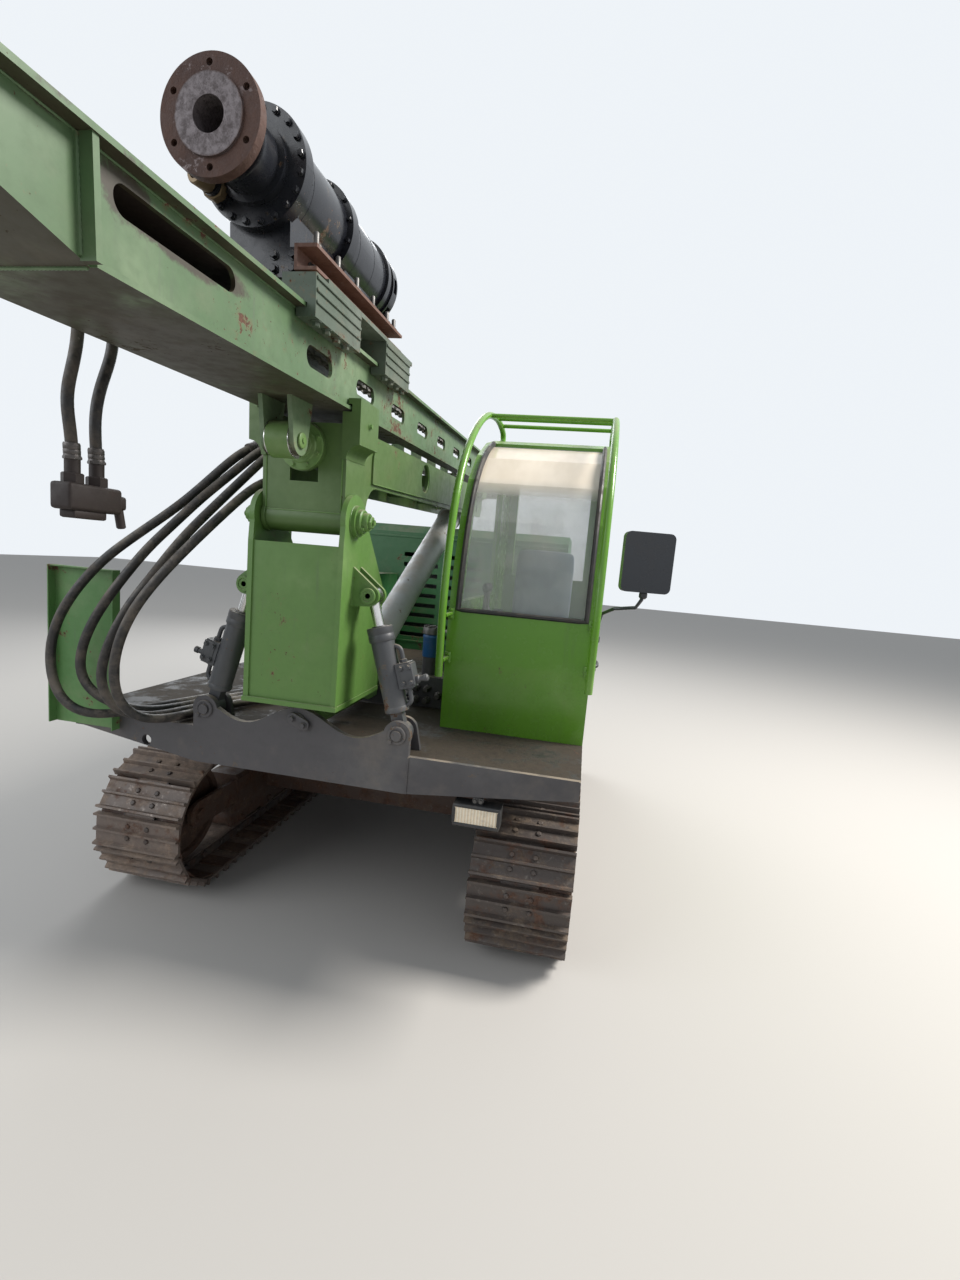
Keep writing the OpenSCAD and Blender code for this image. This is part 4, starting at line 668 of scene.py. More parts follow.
class Bench:
    """Modelling moves shared by the sub-assemblies. Sizes are millimetres until a piece is placed."""

    @staticmethod
    def clear() -> None:
        """Leaves edit mode and deselects everything."""
        if bpy.context.mode != "OBJECT":
            bpy.ops.object.mode_set(mode="OBJECT")
        bpy.ops.object.select_all(action="DESELECT")

    @classmethod
    def pick(cls, piece: Piece) -> None:
        """Makes one piece the only one that is selected and active."""
        cls.clear()
        piece.select_set(True)
        bpy.context.view_layer.objects.active = piece

    @classmethod
    def outward(cls, piece: Piece) -> None:
        """Turns a closed piece's faces outwards."""
        cls.pick(piece)
        bpy.ops.object.mode_set(mode="EDIT")
        bpy.ops.mesh.select_all(action="SELECT")
        bpy.ops.mesh.normals_make_consistent(inside=False)
        bpy.ops.object.mode_set(mode="OBJECT")

    @staticmethod
    def cube(name: str, middle: Sequence[float], size: Sequence[float]) -> Piece:
        """A plain block with its place and size in its mesh."""
        Bench.clear()
        bpy.ops.mesh.primitive_cube_add(size=1, location=middle, scale=size)
        piece = bpy.context.object
        piece.name = name
        return Bench.applied(piece)

    @staticmethod
    def applied(piece: Piece) -> Piece:
        """Applies a piece's place, turn and size to its mesh."""
        bpy.ops.object.transform_apply(location=True, rotation=True, scale=True)
        return piece

    @classmethod
    def modified(cls, piece: Piece, kind: str, **settings: object) -> Piece:
        """Adds one modifier with the given settings, and applies it."""
        cls.pick(piece)
        made = piece.modifiers.new(kind.lower(), kind)
        for name, value in settings.items():
            setattr(made, name, value)
        bpy.ops.object.modifier_apply(modifier=made.name)
        return piece

    @classmethod
    def slab(cls, name: str, low: Point, high: Point, bevel: float = 2.0, segments: int = 2) -> Piece:
        """A block between two corners, its edges rounded in so many facets."""
        middle = [(a + b) / 2 for a, b in zip(low, high)]
        size = [b - a for a, b in zip(low, high)]
        piece = cls.cube(name, middle, size)
        width = min(bevel, min(size) * 0.45)
        return cls.modified(piece, "BEVEL", width=width, segments=segments, limit_method="NONE")

    @classmethod
    def turned(
        cls, name: str, rings: Sequence[tuple[float, float]], sides: int = 24,
        at: Point = (0, 0, 0), way: Point = (0, 0, 1),
    ) -> Piece:
        """A turned piece, drawn out ring by ring from its first face, then put in its place.

        Args:
            name: Name of the piece.
            rings: Radius and height of each ring, from the first face to the last.
            sides: Facets round the axis.
            at: Place of height 0 on the axis.
            way: Direction of the axis.

        Returns:
            The closed piece, in millimetres.
        """
        cls.clear()
        radius, height = rings[0]
        bpy.ops.mesh.primitive_circle_add(
            vertices=sides, radius=radius, fill_type="NGON", location=(0, 0, height))
        piece = bpy.context.object
        piece.name = name
        cls.applied(piece)
        bpy.ops.object.mode_set(mode="EDIT")
        bpy.ops.mesh.select_all(action="SELECT")
        for wide, high in rings[1:]:
            bpy.ops.mesh.extrude_region_move(TRANSFORM_OT_translate={"value": (0, 0, high - height)})
            if abs(wide - radius) > 1e-6:
                share = wide / radius
                bpy.ops.transform.resize(value=(share, share, 1), center_override=(0, 0, high))
            radius, height = wide, high
        cls.outward(piece)
        piece.data.transform(cls.aimed(at, way))
        return piece

    @classmethod
    def plate(
        cls, name: str, outline: Sequence[tuple[float, float]], thick: float, bevel: float = 1.0
    ) -> Piece:
        """A plate with an anticlockwise outline in X and Y, drawn up along Z, its rims rounded."""
        mesh = bpy.data.meshes.new(name)
        mesh.from_pydata([(x, y, 0) for x, y in outline], [], [list(range(len(outline)))])
        piece = bpy.data.objects.new(name, mesh)
        bpy.context.scene.collection.objects.link(piece)
        cls.pick(piece)
        bpy.ops.object.mode_set(mode="EDIT")
        bpy.ops.mesh.select_all(action="SELECT")
        bpy.ops.mesh.extrude_region_move(TRANSFORM_OT_translate={"value": (0, 0, thick)})
        cls.outward(piece)
        if bevel > 0:
            cls.modified(piece, "BEVEL", width=bevel, segments=2, limit_method="ANGLE")
        return piece

    @staticmethod
    def aimed(at: Point, way: Point, spin: float = 0.0) -> Matrix:
        """Turns +Z to the way and about itself by spin degrees, then moves to the place."""
        turn = Vector((0, 0, 1)).rotation_difference(Vector(way)).to_matrix().to_4x4()
        return Matrix.Translation(Vector(at)) @ turn @ Matrix.Rotation(math.radians(spin), 4, "Z")

    @classmethod
    def rod(
        cls, name: str, start: Point, end: Point, radius: float, sides: int = 20, edge: float = 1.5
    ) -> Piece:
        """A round bar between two points with its rims chamfered."""
        way = Vector(end) - Vector(start)
        long = way.length
        edge = min(edge, radius * 0.4, long * 0.3)
        rings = [(radius - edge, 0), (radius, edge), (radius, long - edge), (radius - edge, long)]
        return cls.turned(name, rings, sides, start, way)

    @classmethod
    def tube(
        cls, name: str, points: Sequence[Sequence[float]], radius: "float | Sequence[float]",
        sides: int = 10,
    ) -> Piece:
        """A tube with closed ends along a line of points, with a UV map along and around it.

        Args:
            name: Name of the piece.
            points: The line.
            radius: Its radius, or one for each point.
            sides: Facets round it.

        Returns:
            The tube, in the units of the points.
        """
        line = [Vector(p) for p in points]
        sizes = [radius] * len(line) if isinstance(radius, (int, float)) else list(radius)
        side = Vector((0.3, 0.9, 0.31))
        mesh = bmesh.new()
        rings = []
        run = [0.0]
        for a, b in zip(line, line[1:]):
            run.append(run[-1] + (b - a).length)
        for i, point in enumerate(line):
            way = (line[min(i + 1, len(line) - 1)] - line[max(i - 1, 0)]).normalized()
            side = (side - way * side.dot(way)).normalized()
            other = way.cross(side)
            rings.append([
                mesh.verts.new(point + (side * math.cos(a) + other * math.sin(a)) * sizes[i])
                for a in (2 * math.pi * k / sides for k in range(sides))
            ])
        layer = mesh.loops.layers.uv.new("along")
        for i in range(len(line) - 1):
            for k in range(sides):
                n = (k + 1) % sides
                face = mesh.faces.new((rings[i][k], rings[i][n], rings[i + 1][n], rings[i + 1][k]))
                corners = ((k, i), (k + 1, i), (k + 1, i + 1), (k, i + 1))
                for loop, (around, step) in zip(face.loops, corners):
                    loop[layer].uv = (around / sides, run[step] / (sizes[0] * 1.2))
        mesh.faces.new(list(reversed(rings[0])))
        mesh.faces.new(rings[-1])
        data = bpy.data.meshes.new(name)
        mesh.to_mesh(data)
        mesh.free()
        piece = bpy.data.objects.new(name, data)
        bpy.context.scene.collection.objects.link(piece)
        return piece

    @staticmethod
    def smooth_line(points: Sequence[Point], steps: int = 5) -> list[Vector]:
        """A smooth line through the given points, with so many steps for each span."""
        line = [Vector(p) for p in points]
        line = [line[0] * 2 - line[1], *line, line[-1] * 2 - line[-2]]
        fine = []
        for a, b, c, d in zip(line, line[1:], line[2:], line[3:]):
            for k in range(steps):
                t = k / steps
                fine.append(0.5 * (2 * b + (c - a) * t + (2 * a - 5 * b + 4 * c - d) * t * t
                                   + (3 * b - a - 3 * c + d) * t ** 3))
        return [*fine, line[-2]]

    @classmethod
    def hose_line(cls, points: Sequence[Point], gap: float, passes: int = 14) -> list[Vector]:
        """The way a stiff hose lies along its points: evenly stepped, with each bend eased.

        Args:
            points: Points of the route.
            gap: Length of a step.
            passes: How often each point is drawn towards its neighbours.

        Returns:
            The line.
        """
        fine = cls.smooth_line(points, 5)
        total = sum((b - a).length for a, b in zip(fine, fine[1:]))
        step = total / round(total / gap)
        line, run = [fine[0]], 0.0
        for a, b in zip(fine, fine[1:]):
            long = (b - a).length
            while run + long >= step * len(line) and step * (len(line) + 0.5) < total:
                line.append(a.lerp(b, (step * len(line) - run) / long))
            run += long
        line.append(fine[-1])
        for _ in range(passes):
            inner = [(a + 2 * b + c) / 4 for a, b, c in zip(line, line[1:], line[2:])]
            line = [line[0], *inner, line[-1]]
        return line

    @staticmethod
    def stepped(points: Sequence[Sequence[float]], steps: int) -> list[Vector]:
        """Points in even steps along the straight spans of a line, without its last point."""
        line = [Vector(p) for p in points]
        return [a.lerp(b, k / steps) for a, b in zip(line, line[1:]) for k in range(steps)]

    @classmethod
    def beads(cls, name: str, rows: Iterable[tuple[Sequence[Point], float]]) -> Piece:
        """Weld beads with their ripples, joined, from the line and the radius of each."""
        made = []
        for points, radius in rows:
            line: list[Vector] = []
            for a, b in zip(points, points[1:]):
                count = max(2, int((Vector(b) - Vector(a)).length / (radius * 1.1)))
                line += cls.stepped((a, b), count)
            line.append(Vector(points[-1]))
            sizes = [radius * (1.0 if k % 2 else 0.72) for k in range(len(line))]
            made.append(cls.tube("bead", line, sizes, 6))
        return cls.joined(name, made)

    @classmethod
    def joined(cls, name: str, pieces: Sequence[Piece]) -> Piece:
        """Joins pieces of one finish into one object."""
        cls.clear()
        for piece in pieces:
            piece.select_set(True)
        bpy.context.view_layer.objects.active = pieces[0]
        if len(pieces) > 1:
            bpy.ops.object.join()
        pieces[0].name = name
        return pieces[0]

    @classmethod
    def copies(cls, name: str, piece: Piece, places: Iterable[Matrix]) -> Piece:
        """Copies a pattern, which is used up, to each place with its own mesh, and joins them."""
        made = []
        for place in places:
            copy = piece.copy()
            copy.data = piece.data.copy()
            copy.data.transform(place)
            bpy.context.scene.collection.objects.link(copy)
            made.append(copy)
        bpy.data.objects.remove(piece)
        return cls.joined(name, made)

    @classmethod
    def bolt(cls, across: float = 24, head: float = 13, washer: float = 20) -> Piece:
        """A hexagon bolt head on its washer, seated on Z 0."""
        corner = across / 2 / math.cos(math.radians(30))
        ring = cls.turned("washer", [(washer, 0), (washer, 2.4), (washer - 0.8, 3.2)], 14)
        cap = cls.turned("cap", [(corner, 3), (corner, head + 0.5), (corner * 0.84, head + 3)], 6)
        return cls.joined("bolt", [ring, cap])

    @classmethod
    def bolts(cls, name: str, size: Point, places: Iterable[Matrix]) -> Piece:
        """Bolt heads of one size (width over flats, height, washer radius) at the given places."""
        return cls.copies(name, cls.bolt(*size), places)

    @staticmethod
    def arc(
        centre: tuple[float, float], radius: float, angles: Iterable[float]
    ) -> list[tuple[float, float]]:
        """Points of a circle in its own plane, at angles given in degrees."""
        turns = [math.radians(a) for a in angles]
        return [(centre[0] + radius * math.cos(a), centre[1] + radius * math.sin(a)) for a in turns]

    @classmethod
    def circle(
        cls, count: int, radius: float, centre: Point, way: Point, start: float = 0.0,
        spun: bool = False,
    ) -> list[Matrix]:
        """Places on a circle about one of the frame's axes, each aimed along that axis.

        Args:
            count: Number of places.
            radius: Radius of the circle.
            centre: Its centre.
            way: The axis, with the sense in which the places are aimed.
            start: Angle of the first place, in degrees.
            spun: Whether each place turns on with its angle.

        Returns:
            The places.
        """
        u, v = (k for k in range(3) if not way[k])
        angles = [start + 360 * k / count for k in range(count)]
        made = []
        for angle, spot in zip(angles, cls.arc((centre[u], centre[v]), radius, angles)):
            at = list(centre)
            at[u], at[v] = spot
            made.append(cls.aimed(at, way, angle if spun else 0.0))
        return made


@dataclass
class Assembly:
    """A sub-assembly: the place that its sizes start from, and the body that carries it."""

    place: Datum | MastFrame
    frame: dict
    body: ClassVar[str] = "upper"

    def dress(self, finish: "Finish | WornPaint | RustyCasting", *nodes: str) -> None:
        """Gives CAD nodes a named finish, or one written for its place, by their material slots."""
        for name in nodes:
            piece = self.frame["nodes"][name]
            if not piece.material_slots:
                piece.data.materials.append(None)
            made = material(finish) if isinstance(finish, Finish) else finish.make()
            for place in piece.material_slots:
                place.link = "OBJECT"
                place.material = made
            LOG.info("%s dressed in %s", name, made.name)

    def put(
        self, piece: Piece, finish: Finish, slot: str, body: str = "", smooth: bool = True,
        stand: Matrix = Matrix(),
    ) -> Piece:
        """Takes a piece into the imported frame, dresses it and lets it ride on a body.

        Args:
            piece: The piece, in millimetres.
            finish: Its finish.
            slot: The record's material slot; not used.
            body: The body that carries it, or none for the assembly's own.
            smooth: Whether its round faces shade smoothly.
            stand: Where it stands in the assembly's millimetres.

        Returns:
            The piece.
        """
        piece.data.transform(self.place.matrix() @ stand)
        Bench.pick(piece)
        if smooth:
            bpy.ops.object.shade_smooth_by_angle(angle=math.radians(38))
        piece.data.materials.clear()
        piece.data.materials.append(material(finish))
        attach(piece, body or self.body)
        LOG.info("%s rides on %s", piece.name, body or self.body)
        return piece


@dataclass
class Studio:
    """Camera at the photograph's place, pale floor, soft light."""

    datum: Datum
    eye: Point = (1070, -2320, 1790)
    focal_px: float = 585.0
    picture: tuple[int, int] = (960, 1280)
    yaw: float = 9.85
    pitch: float = 7.58
    roll: float = 4.95
    sensor: float = 36.0
    lit: Point = (0, 0, 1.2)

    def build(self) -> None:
        """Makes the camera, the floor and the lights."""
        self.camera()
        self.floor()
        self.lights()

    def camera(self) -> None:
        """Places the camera as the photograph's was."""
        look = Matrix(((1, 0, 0), (0, 0, -1), (0, 1, 0)))
        for angle, axis in ((self.yaw, "Y"), (self.pitch, "X"), (self.roll, "Z")):
            look = Matrix.Rotation(math.radians(angle), 3, axis) @ look
        right, down, ahead = (Vector(row) for row in look)
        data = bpy.data.cameras.new("camera")
        data.sensor_fit = "HORIZONTAL"
        data.sensor_width = self.sensor
        data.lens = self.focal_px * self.sensor / self.picture[0]
        data.clip_end = 100
        camera = bpy.data.objects.new("camera", data)
        turn = Matrix((right, -down, -ahead)).transposed().to_4x4()
        camera.matrix_world = Matrix.Translation(self.datum.at(*self.eye)) @ turn
        bpy.context.scene.collection.objects.link(camera)
        bpy.context.scene.camera = camera

    def floor(self) -> None:
        """Makes the plain pale floor."""
        Bench.clear()
        bpy.ops.mesh.primitive_plane_add(size=60, location=(0, 0, -0.001))
        floor = bpy.context.object
        floor.name = "studio_floor"
        sheet = Sheet("studio_floor")
        floor.data.materials.append(sheet.surface(base_color=(0.52, 0.50, 0.47), roughness=0.9))

    def lights(self) -> None:
        """Sets a high sun-side key, a soft fill and an even sky."""
        rows = [
            ("key", (6.5, 0.5, 8.0), 3.2, 1250, (1.0, 0.965, 0.92)),
            ("fill", (-5.5, -6.0, 5.0), 6.0, 260, (0.93, 0.96, 1.0)),
            ("rear", (-4.0, 7.0, 6.0), 5.0, 300, (0.95, 0.97, 1.0)),
        ]
        for name, place, size, power, colour in rows:
            data = bpy.data.lights.new(name, "AREA")
            data.size, data.energy, data.color = size, power, colour
            lamp = bpy.data.objects.new(name, data)
            lamp.location = place
            way = Vector(self.lit) - Vector(place)
            lamp.rotation_euler = way.to_track_quat("-Z", "Y").to_euler()
            bpy.context.scene.collection.objects.link(lamp)
        world = bpy.data.worlds.new("studio_sky")
        bpy.context.scene.world = world
        world.use_nodes = True
        tree = world.node_tree
        back = tree.nodes["Background"]
        back.inputs[0].default_value = (0.80, 0.86, 0.93, 1)
        back.inputs[1].default_value = 0.48
        seen = tree.nodes.new("ShaderNodeBackground")
        seen.inputs[0].default_value = (0.86, 0.90, 0.94, 1)
        path, mix = (tree.nodes.new(f"ShaderNode{kind}") for kind in ("LightPath", "MixShader"))
        share = path.outputs["Is Camera Ray"]
        for ray in ("Glossy", "Transmission"):
            more = tree.nodes.new("ShaderNodeMath")
            more.operation = "MAXIMUM"
            tree.links.new(share, more.inputs[0])
            tree.links.new(path.outputs[f"Is {ray} Ray"], more.inputs[1])
            share = more.outputs[0]
        surface = tree.nodes["World Output"].inputs[0]
        for source, target in zip((share, back.outputs[0], seen.outputs[0]), mix.inputs):
            tree.links.new(source, target)
        tree.links.new(mix.outputs[0], surface)
        bpy.context.scene.view_settings.view_transform = "Standard"


@dataclass
class Hoses(Assembly):
    """The four loop hoses from the column's bracket, and the two that hang from the mast."""

    body: ClassVar[str] = "mast"
    loop_r: float = 18
    hang_r: float = 14
    fitting_r: float = 21
    loop_gap: float = 24
    hang_gap: float = 16
    loops: tuple = (
        ((-385, 60, 2195), (-385, 15, 2195), (-460, -30, 2110), (-590, -120, 1935), (-710, -200, 1805),
         (-820, -280, 1680), (-900, -325, 1560), (-970, -345, 1440), (-1010, -350, 1310),
         (-1000, -355, 1190), (-955, -360, 1100), (-880, -350, 1052), (-800, -315, 1044),
         (-762, -235, 1047), (-710, -90, 1046), (-640, 110, 1046), (-560, 290, 1046),
         (-500, 400, 1046), (-500, 450, 1046)),
        ((-325, 60, 2195), (-325, 15, 2195), (-400, -30, 2100), (-510, -130, 1950), (-585, -200, 1830),
         (-640, -260, 1740), (-695, -300, 1640), (-765, -325, 1530), (-820, -335, 1440),
         (-870, -340, 1330), (-890, -340, 1220), (-855, -330, 1145), (-778, -312, 1100),
         (-712, -262, 1068), (-680, -190, 1048), (-640, -70, 1046), (-575, 110, 1046),
         (-500, 290, 1046), (-440, 400, 1046), (-440, 450, 1046)),
        ((-265, 60, 2195), (-265, 15, 2195), (-330, -50, 2090), (-425, -150, 1930), (-480, -230, 1820),
         (-530, -285, 1720), (-585, -325, 1610), (-645, -350, 1520), (-700, -365, 1410),
         (-745, -370, 1300), (-765, -370, 1200), (-740, -360, 1115), (-680, -330, 1062),
         (-618, -240, 1047), (-575, -70, 1046), (-515, 110, 1046), (-440, 290, 1046),
         (-380, 400, 1046), (-380, 450, 1046)),
        ((-290, 60, 2060), (-290, 10, 2060), (-305, -90, 2010), (-350, -195, 1905), (-405, -275, 1800),
         (-465, -335, 1700), (-530, -375, 1600), (-590, -400, 1500), (-630, -415, 1400),
         (-655, -420, 1300), (-660, -415, 1200), (-645, -395, 1115), (-605, -345, 1058),
         (-552, -235, 1046), (-515, -70, 1046), (-455, 110, 1046), (-380, 290, 1046),
         (-320, 400, 1046), (-320, 450, 1046)),
    )
    hangs: tuple = (
        ((-240, -990, 2330), (-240, -990, 2260), (-238, -1010, 2180), (-235, -1035, 2100),
         (-238, -1015, 2030), (-240, -1010, 1990), (-240, -1010, 1960)),
        ((-240, -880, 2330), (-240, -880, 2260), (-240, -915, 2180), (-236, -945, 2090),
         (-240, -940, 2030), (-240, -935, 1990), (-240, -935, 1960)),
    )
    loop_lengths: tuple = (2.39, 2.245, 2.23, 2.15)
    hang_lengths: tuple = (0.375, 0.379)

    def fitting(self, name: str, line: Sequence[Vector], body: str, radius: float) -> Piece:
        """A crimped ferrule with its union nut, on the hose's end where the line starts."""
        shell = Bench.turned(
            name + "_shell",
            [(23, 0), (29, 2), (29, 14), (27.6, 16), (29, 18), (29, 32), (27.6, 34), (29, 36),
             (29, 52), (26.5, 58)], 20)
        nut = Bench.turned(name + "_nut", [(31, -3), (33, -1), (33, 6), (31, 9)], 6)
        piece = Bench.joined(name, [shell, nut])
        share = radius / self.fitting_r
        piece.data.transform(Bench.aimed(line[0], line[2] - line[0]) @ Matrix.Scale(share, 4))
        return self.put(piece, Finish.GREASY, "chain_steel", body)

    def build(self) -> None:
        for k, points in enumerate(self.loops, 1):
            line = Bench.hose_line(points, self.loop_gap)
            ends = [self.fitting(f"loop_hose_{k}_top_end", line, "column", self.loop_r),
                    self.fitting(f"loop_hose_{k}_low_end", line[::-1], "upper", self.loop_r)]
            hose = self.skin("loop_hose", k, line, self.loop_r, 16)
            tuple(self.place.at(-800, 0, 1060))
            tuple(self.place.at(-800, 0, 2060))
            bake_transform(hose)
            self.declare(hose, line, self.loop_lengths[k - 1], self.loop_r, "object", ends)
        self.distributor()
        for k, points in enumerate(self.hangs, 1):
            line = Bench.hose_line(points, self.hang_gap)
            ends = [self.fitting(f"hang_hose_{k}_end", line[::-1], "mast", self.hang_r)]
            hose = self.skin("hang_hose", k, line, self.hang_r, 14)
            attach(hose, "mast")
            self.declare(hose, line, self.hang_lengths[k - 1], self.hang_r, "fitting",
                         [*ends, "hang_block"] if k == 1 else ends)

    def skin(self, kind: str, k: int, line: Sequence[Vector], radius: float, sides: int) -> Piece:
        """Makes a hose with its rubber, in place of its plain node."""
        hose = Bench.tube(f"{kind}_skin_{k}", [self.place.at(*p) for p in line], radius * MM, sides)
        Bench.pick(hose)
        bpy.ops.object.shade_smooth_by_angle(angle=math.radians(40))
        hose.data.materials.append(material(Finish.HOSE))
        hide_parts(f"{kind}_{k}")
        LOG.info("%s is laid", hose.name)
        return hose

    def declare(
        self, hose: Piece, line: Sequence[Vector], length: float, radius: float,
        far_end: str, ends: list,
    ) -> None:
        """Lists a hose's points in the imported frame, and does nothing more with them."""
        path = [tuple(self.place.at(*p)) for p in line]

    def distributor(self) -> None:
        """Makes the greasy block that the hanging hoses end in, with its stubs and its outlet."""
        pieces = [
            Bench.slab("body", (-272, -1048, 1832), (-208, -880, 1900), 9, 3),
            Bench.slab("step", (-264, -1028, 1812), (-216, -925, 1836), 6, 2),
            Bench.slab("ear", (-256, -886, 1846), (-224, -846, 1884), 8, 3),
            Bench.rod("outlet", (-240, -862, 1850), (-240, -850, 1796), 12, 14, 3),
        ]
        for x, y, top in (points[-1] for points in self.hangs):
            stub = [(23, 1897), (26, 1900), (26, 1922), (23, 1925)]
            pieces.append(Bench.turned("stub", stub, 6, (x, y, 0)))
            pieces.append(Bench.turned("neck", [(18, 1920), (18, top - 1)], 18, (x, y, 0)))
        made = self.put(Bench.joined("hose_distributor", pieces), Finish.OILY_AND_SHADE, "brown_steel")
        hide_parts("hang_block")


@dataclass
class Undercarriage(Assembly):
    """Tracks, frames and rollers: shoe bolts, lips, link plates and hub covers."""

    body: ClassVar[str] = "undercarriage"
    overall: float = 2300
    length: float = 3000
    height: float = 680
    shoe: float = 450
    count: int = 40
    shoe_t: float = 14
    grouser: float = 22
    chain_half: float = 75

    def build(self) -> None:
        """Dresses the nodes and adds the small pieces."""
        self.dress(Finish.TRACK, "track_right")
        self.dress(Finish.DUSTY, "track_left")
        self.dress(Finish.FRAME, "side_frame_left", "side_frame_right", "car_body", "rollers_left",
                   "rollers_right")
        for side, label in SIDES:
            self.shoe_bolts(side, label)
            self.shoe_lips(side, label)
            self.link_plates(side, label)
            self.hub_cover(side, label)

    @property
    def turn_r(self) -> float:
        """Radius of the shoes' path round the track's ends."""
        return self.height / 2 - self.grouser - self.shoe_t

    @property
    def pitch(self) -> float:
        """Spacing of the shoes along the path."""
        return (2 * (self.length - self.height) + 2 * math.pi * self.turn_r) / self.count

    def middle(self, side: int) -> float:
        """Middle of a track, across the machine."""
        return side * (self.overall / 2 - self.shoe / 2)

    def path(self, s: float) -> tuple[float, float, float]:
        """A point of the shoe path at distance s, as y, z and heading in degrees."""
        r = self.turn_r
        low, mid = self.height / 2 - r, self.height / 2
        straight, half = self.length - self.height, math.pi * r
        front, rear = mid, self.length - mid
        s %= 2 * straight + 2 * half
        if s < straight:
            return front + s, low, 0.0
        if s < straight + half:
            a = (s - straight) / r
            return rear + r * math.sin(a), mid - r * math.cos(a), math.degrees(a)
        if s < 2 * straight + half:
            return rear - (s - straight - half), mid + r, 180.0
        a = (s - 2 * straight - half) / r
        return front - r * math.sin(a), mid + r * math.cos(a), 180 + math.degrees(a)

    def shoe_matrix(self, s: float, x: float) -> Matrix:
        """Takes a piece drawn on a shoe's face (Z outward, Y along the track) to the shoe at s."""
        y, z, heading = self.path(s)
        a = math.radians(heading)
        along = Vector((0, math.cos(a), math.sin(a)))
        outward = Vector((0, math.sin(a), -math.cos(a)))
        turn = Matrix((along.cross(outward), along, outward)).transposed().to_4x4()
        return Matrix.Translation(Vector((x, y, z))) @ turn

    def shoe_bolts(self, side: int, label: str) -> None:
        """Adds four domed bolts to each shoe between its grousers."""
        t = self.shoe_t
        head = Bench.turned("head", [(13, t), (13, t + 5), (9, t + 8)], 6)
        piece = Bench.copies(f"shoe_bolts_{label}", head, [
            self.shoe_matrix(k * self.pitch, self.middle(side) + across) @ Matrix.Translation((0, along, 0))
            for k in range(self.count) for across in (-52, 52) for along in (-30, 30)])
        self.put(piece, Finish.TRACK, "track_steel", smooth=False)

    def shoe_lips(self, side: int, label: str) -> None:
        """Adds the lip by which each shoe laps under the next one."""
        wide, deep = self.shoe / 2 - 3, self.pitch * 0.28
        lip = Bench.slab("lip", (-wide, -deep, -9), (wide, deep, -1), 2, 1)
        piece = Bench.copies(f"shoe_lips_{label}", lip, [
            self.shoe_matrix((k + 0.5) * self.pitch, self.middle(side)) for k in range(self.count)])
        self.put(piece, Finish.FRAME, "track_steel", smooth=False)

    def link_plates(self, side: int, label: str) -> None:
        """Adds the waisted link plates and pin ends on both sides of the link chain."""
        pitch = self.pitch
        shape = ((-0.62, -24), (-0.5, -34), (-0.36, -30), (0, -20), (0.36, -30), (0.5, -34),
                 (0.62, -24), (0.62, 16), (0.45, 24), (-0.45, 24), (-0.62, 16))
        link = Bench.plate("link", [(pitch * share, high) for share, high in shape], 8, 0)
        link.data.transform(Matrix(((0, 0, 1, 0), (1, 0, 0, 0), (0, -1, 0, 0), (0, 0, 0, 1))))
        pin = Bench.turned("pin", [(17, 0), (17, 11), (12, 15)], 10, (0, pitch / 2, 0), (1, 0, 0))
        places = [
            self.shoe_matrix(k * pitch, self.middle(side) + face * self.chain_half)
            @ Matrix.Translation((0, 0, -27)) @ Matrix.Scale(-face, 4, (1, 0, 0))
            for k in range(self.count) for face in (-1, 1)]
        piece = Bench.copies(f"link_plates_{label}", Bench.joined("link", [link, pin]), places)
        Bench.outward(piece)
        self.put(piece, Finish.TRACK, "track_steel", smooth=False)

    def hub_cover(self, side: int, label: str) -> None:
        """Adds the travel motor's bolted hub cover outside the rear sprocket."""
        x, y, z = self.middle(side) + side * 118, self.length - self.height / 2, self.height / 2
        way = (side, 0, 0)
        rings = [(120, 0), (120, 16), (112, 22), (84, 26), (78, 34), (30, 38)]
        cover = Bench.turned("cover", rings, 32, (x, y, z), way)
        bolts = Bench.bolts("bolts", (17, 9, 13), Bench.circle(10, 98, (x + side * 22, y, z), way))
        self.put(Bench.joined(f"hub_cover_{label}", [cover, bolts]), Finish.FRAME, "rusty_frame")


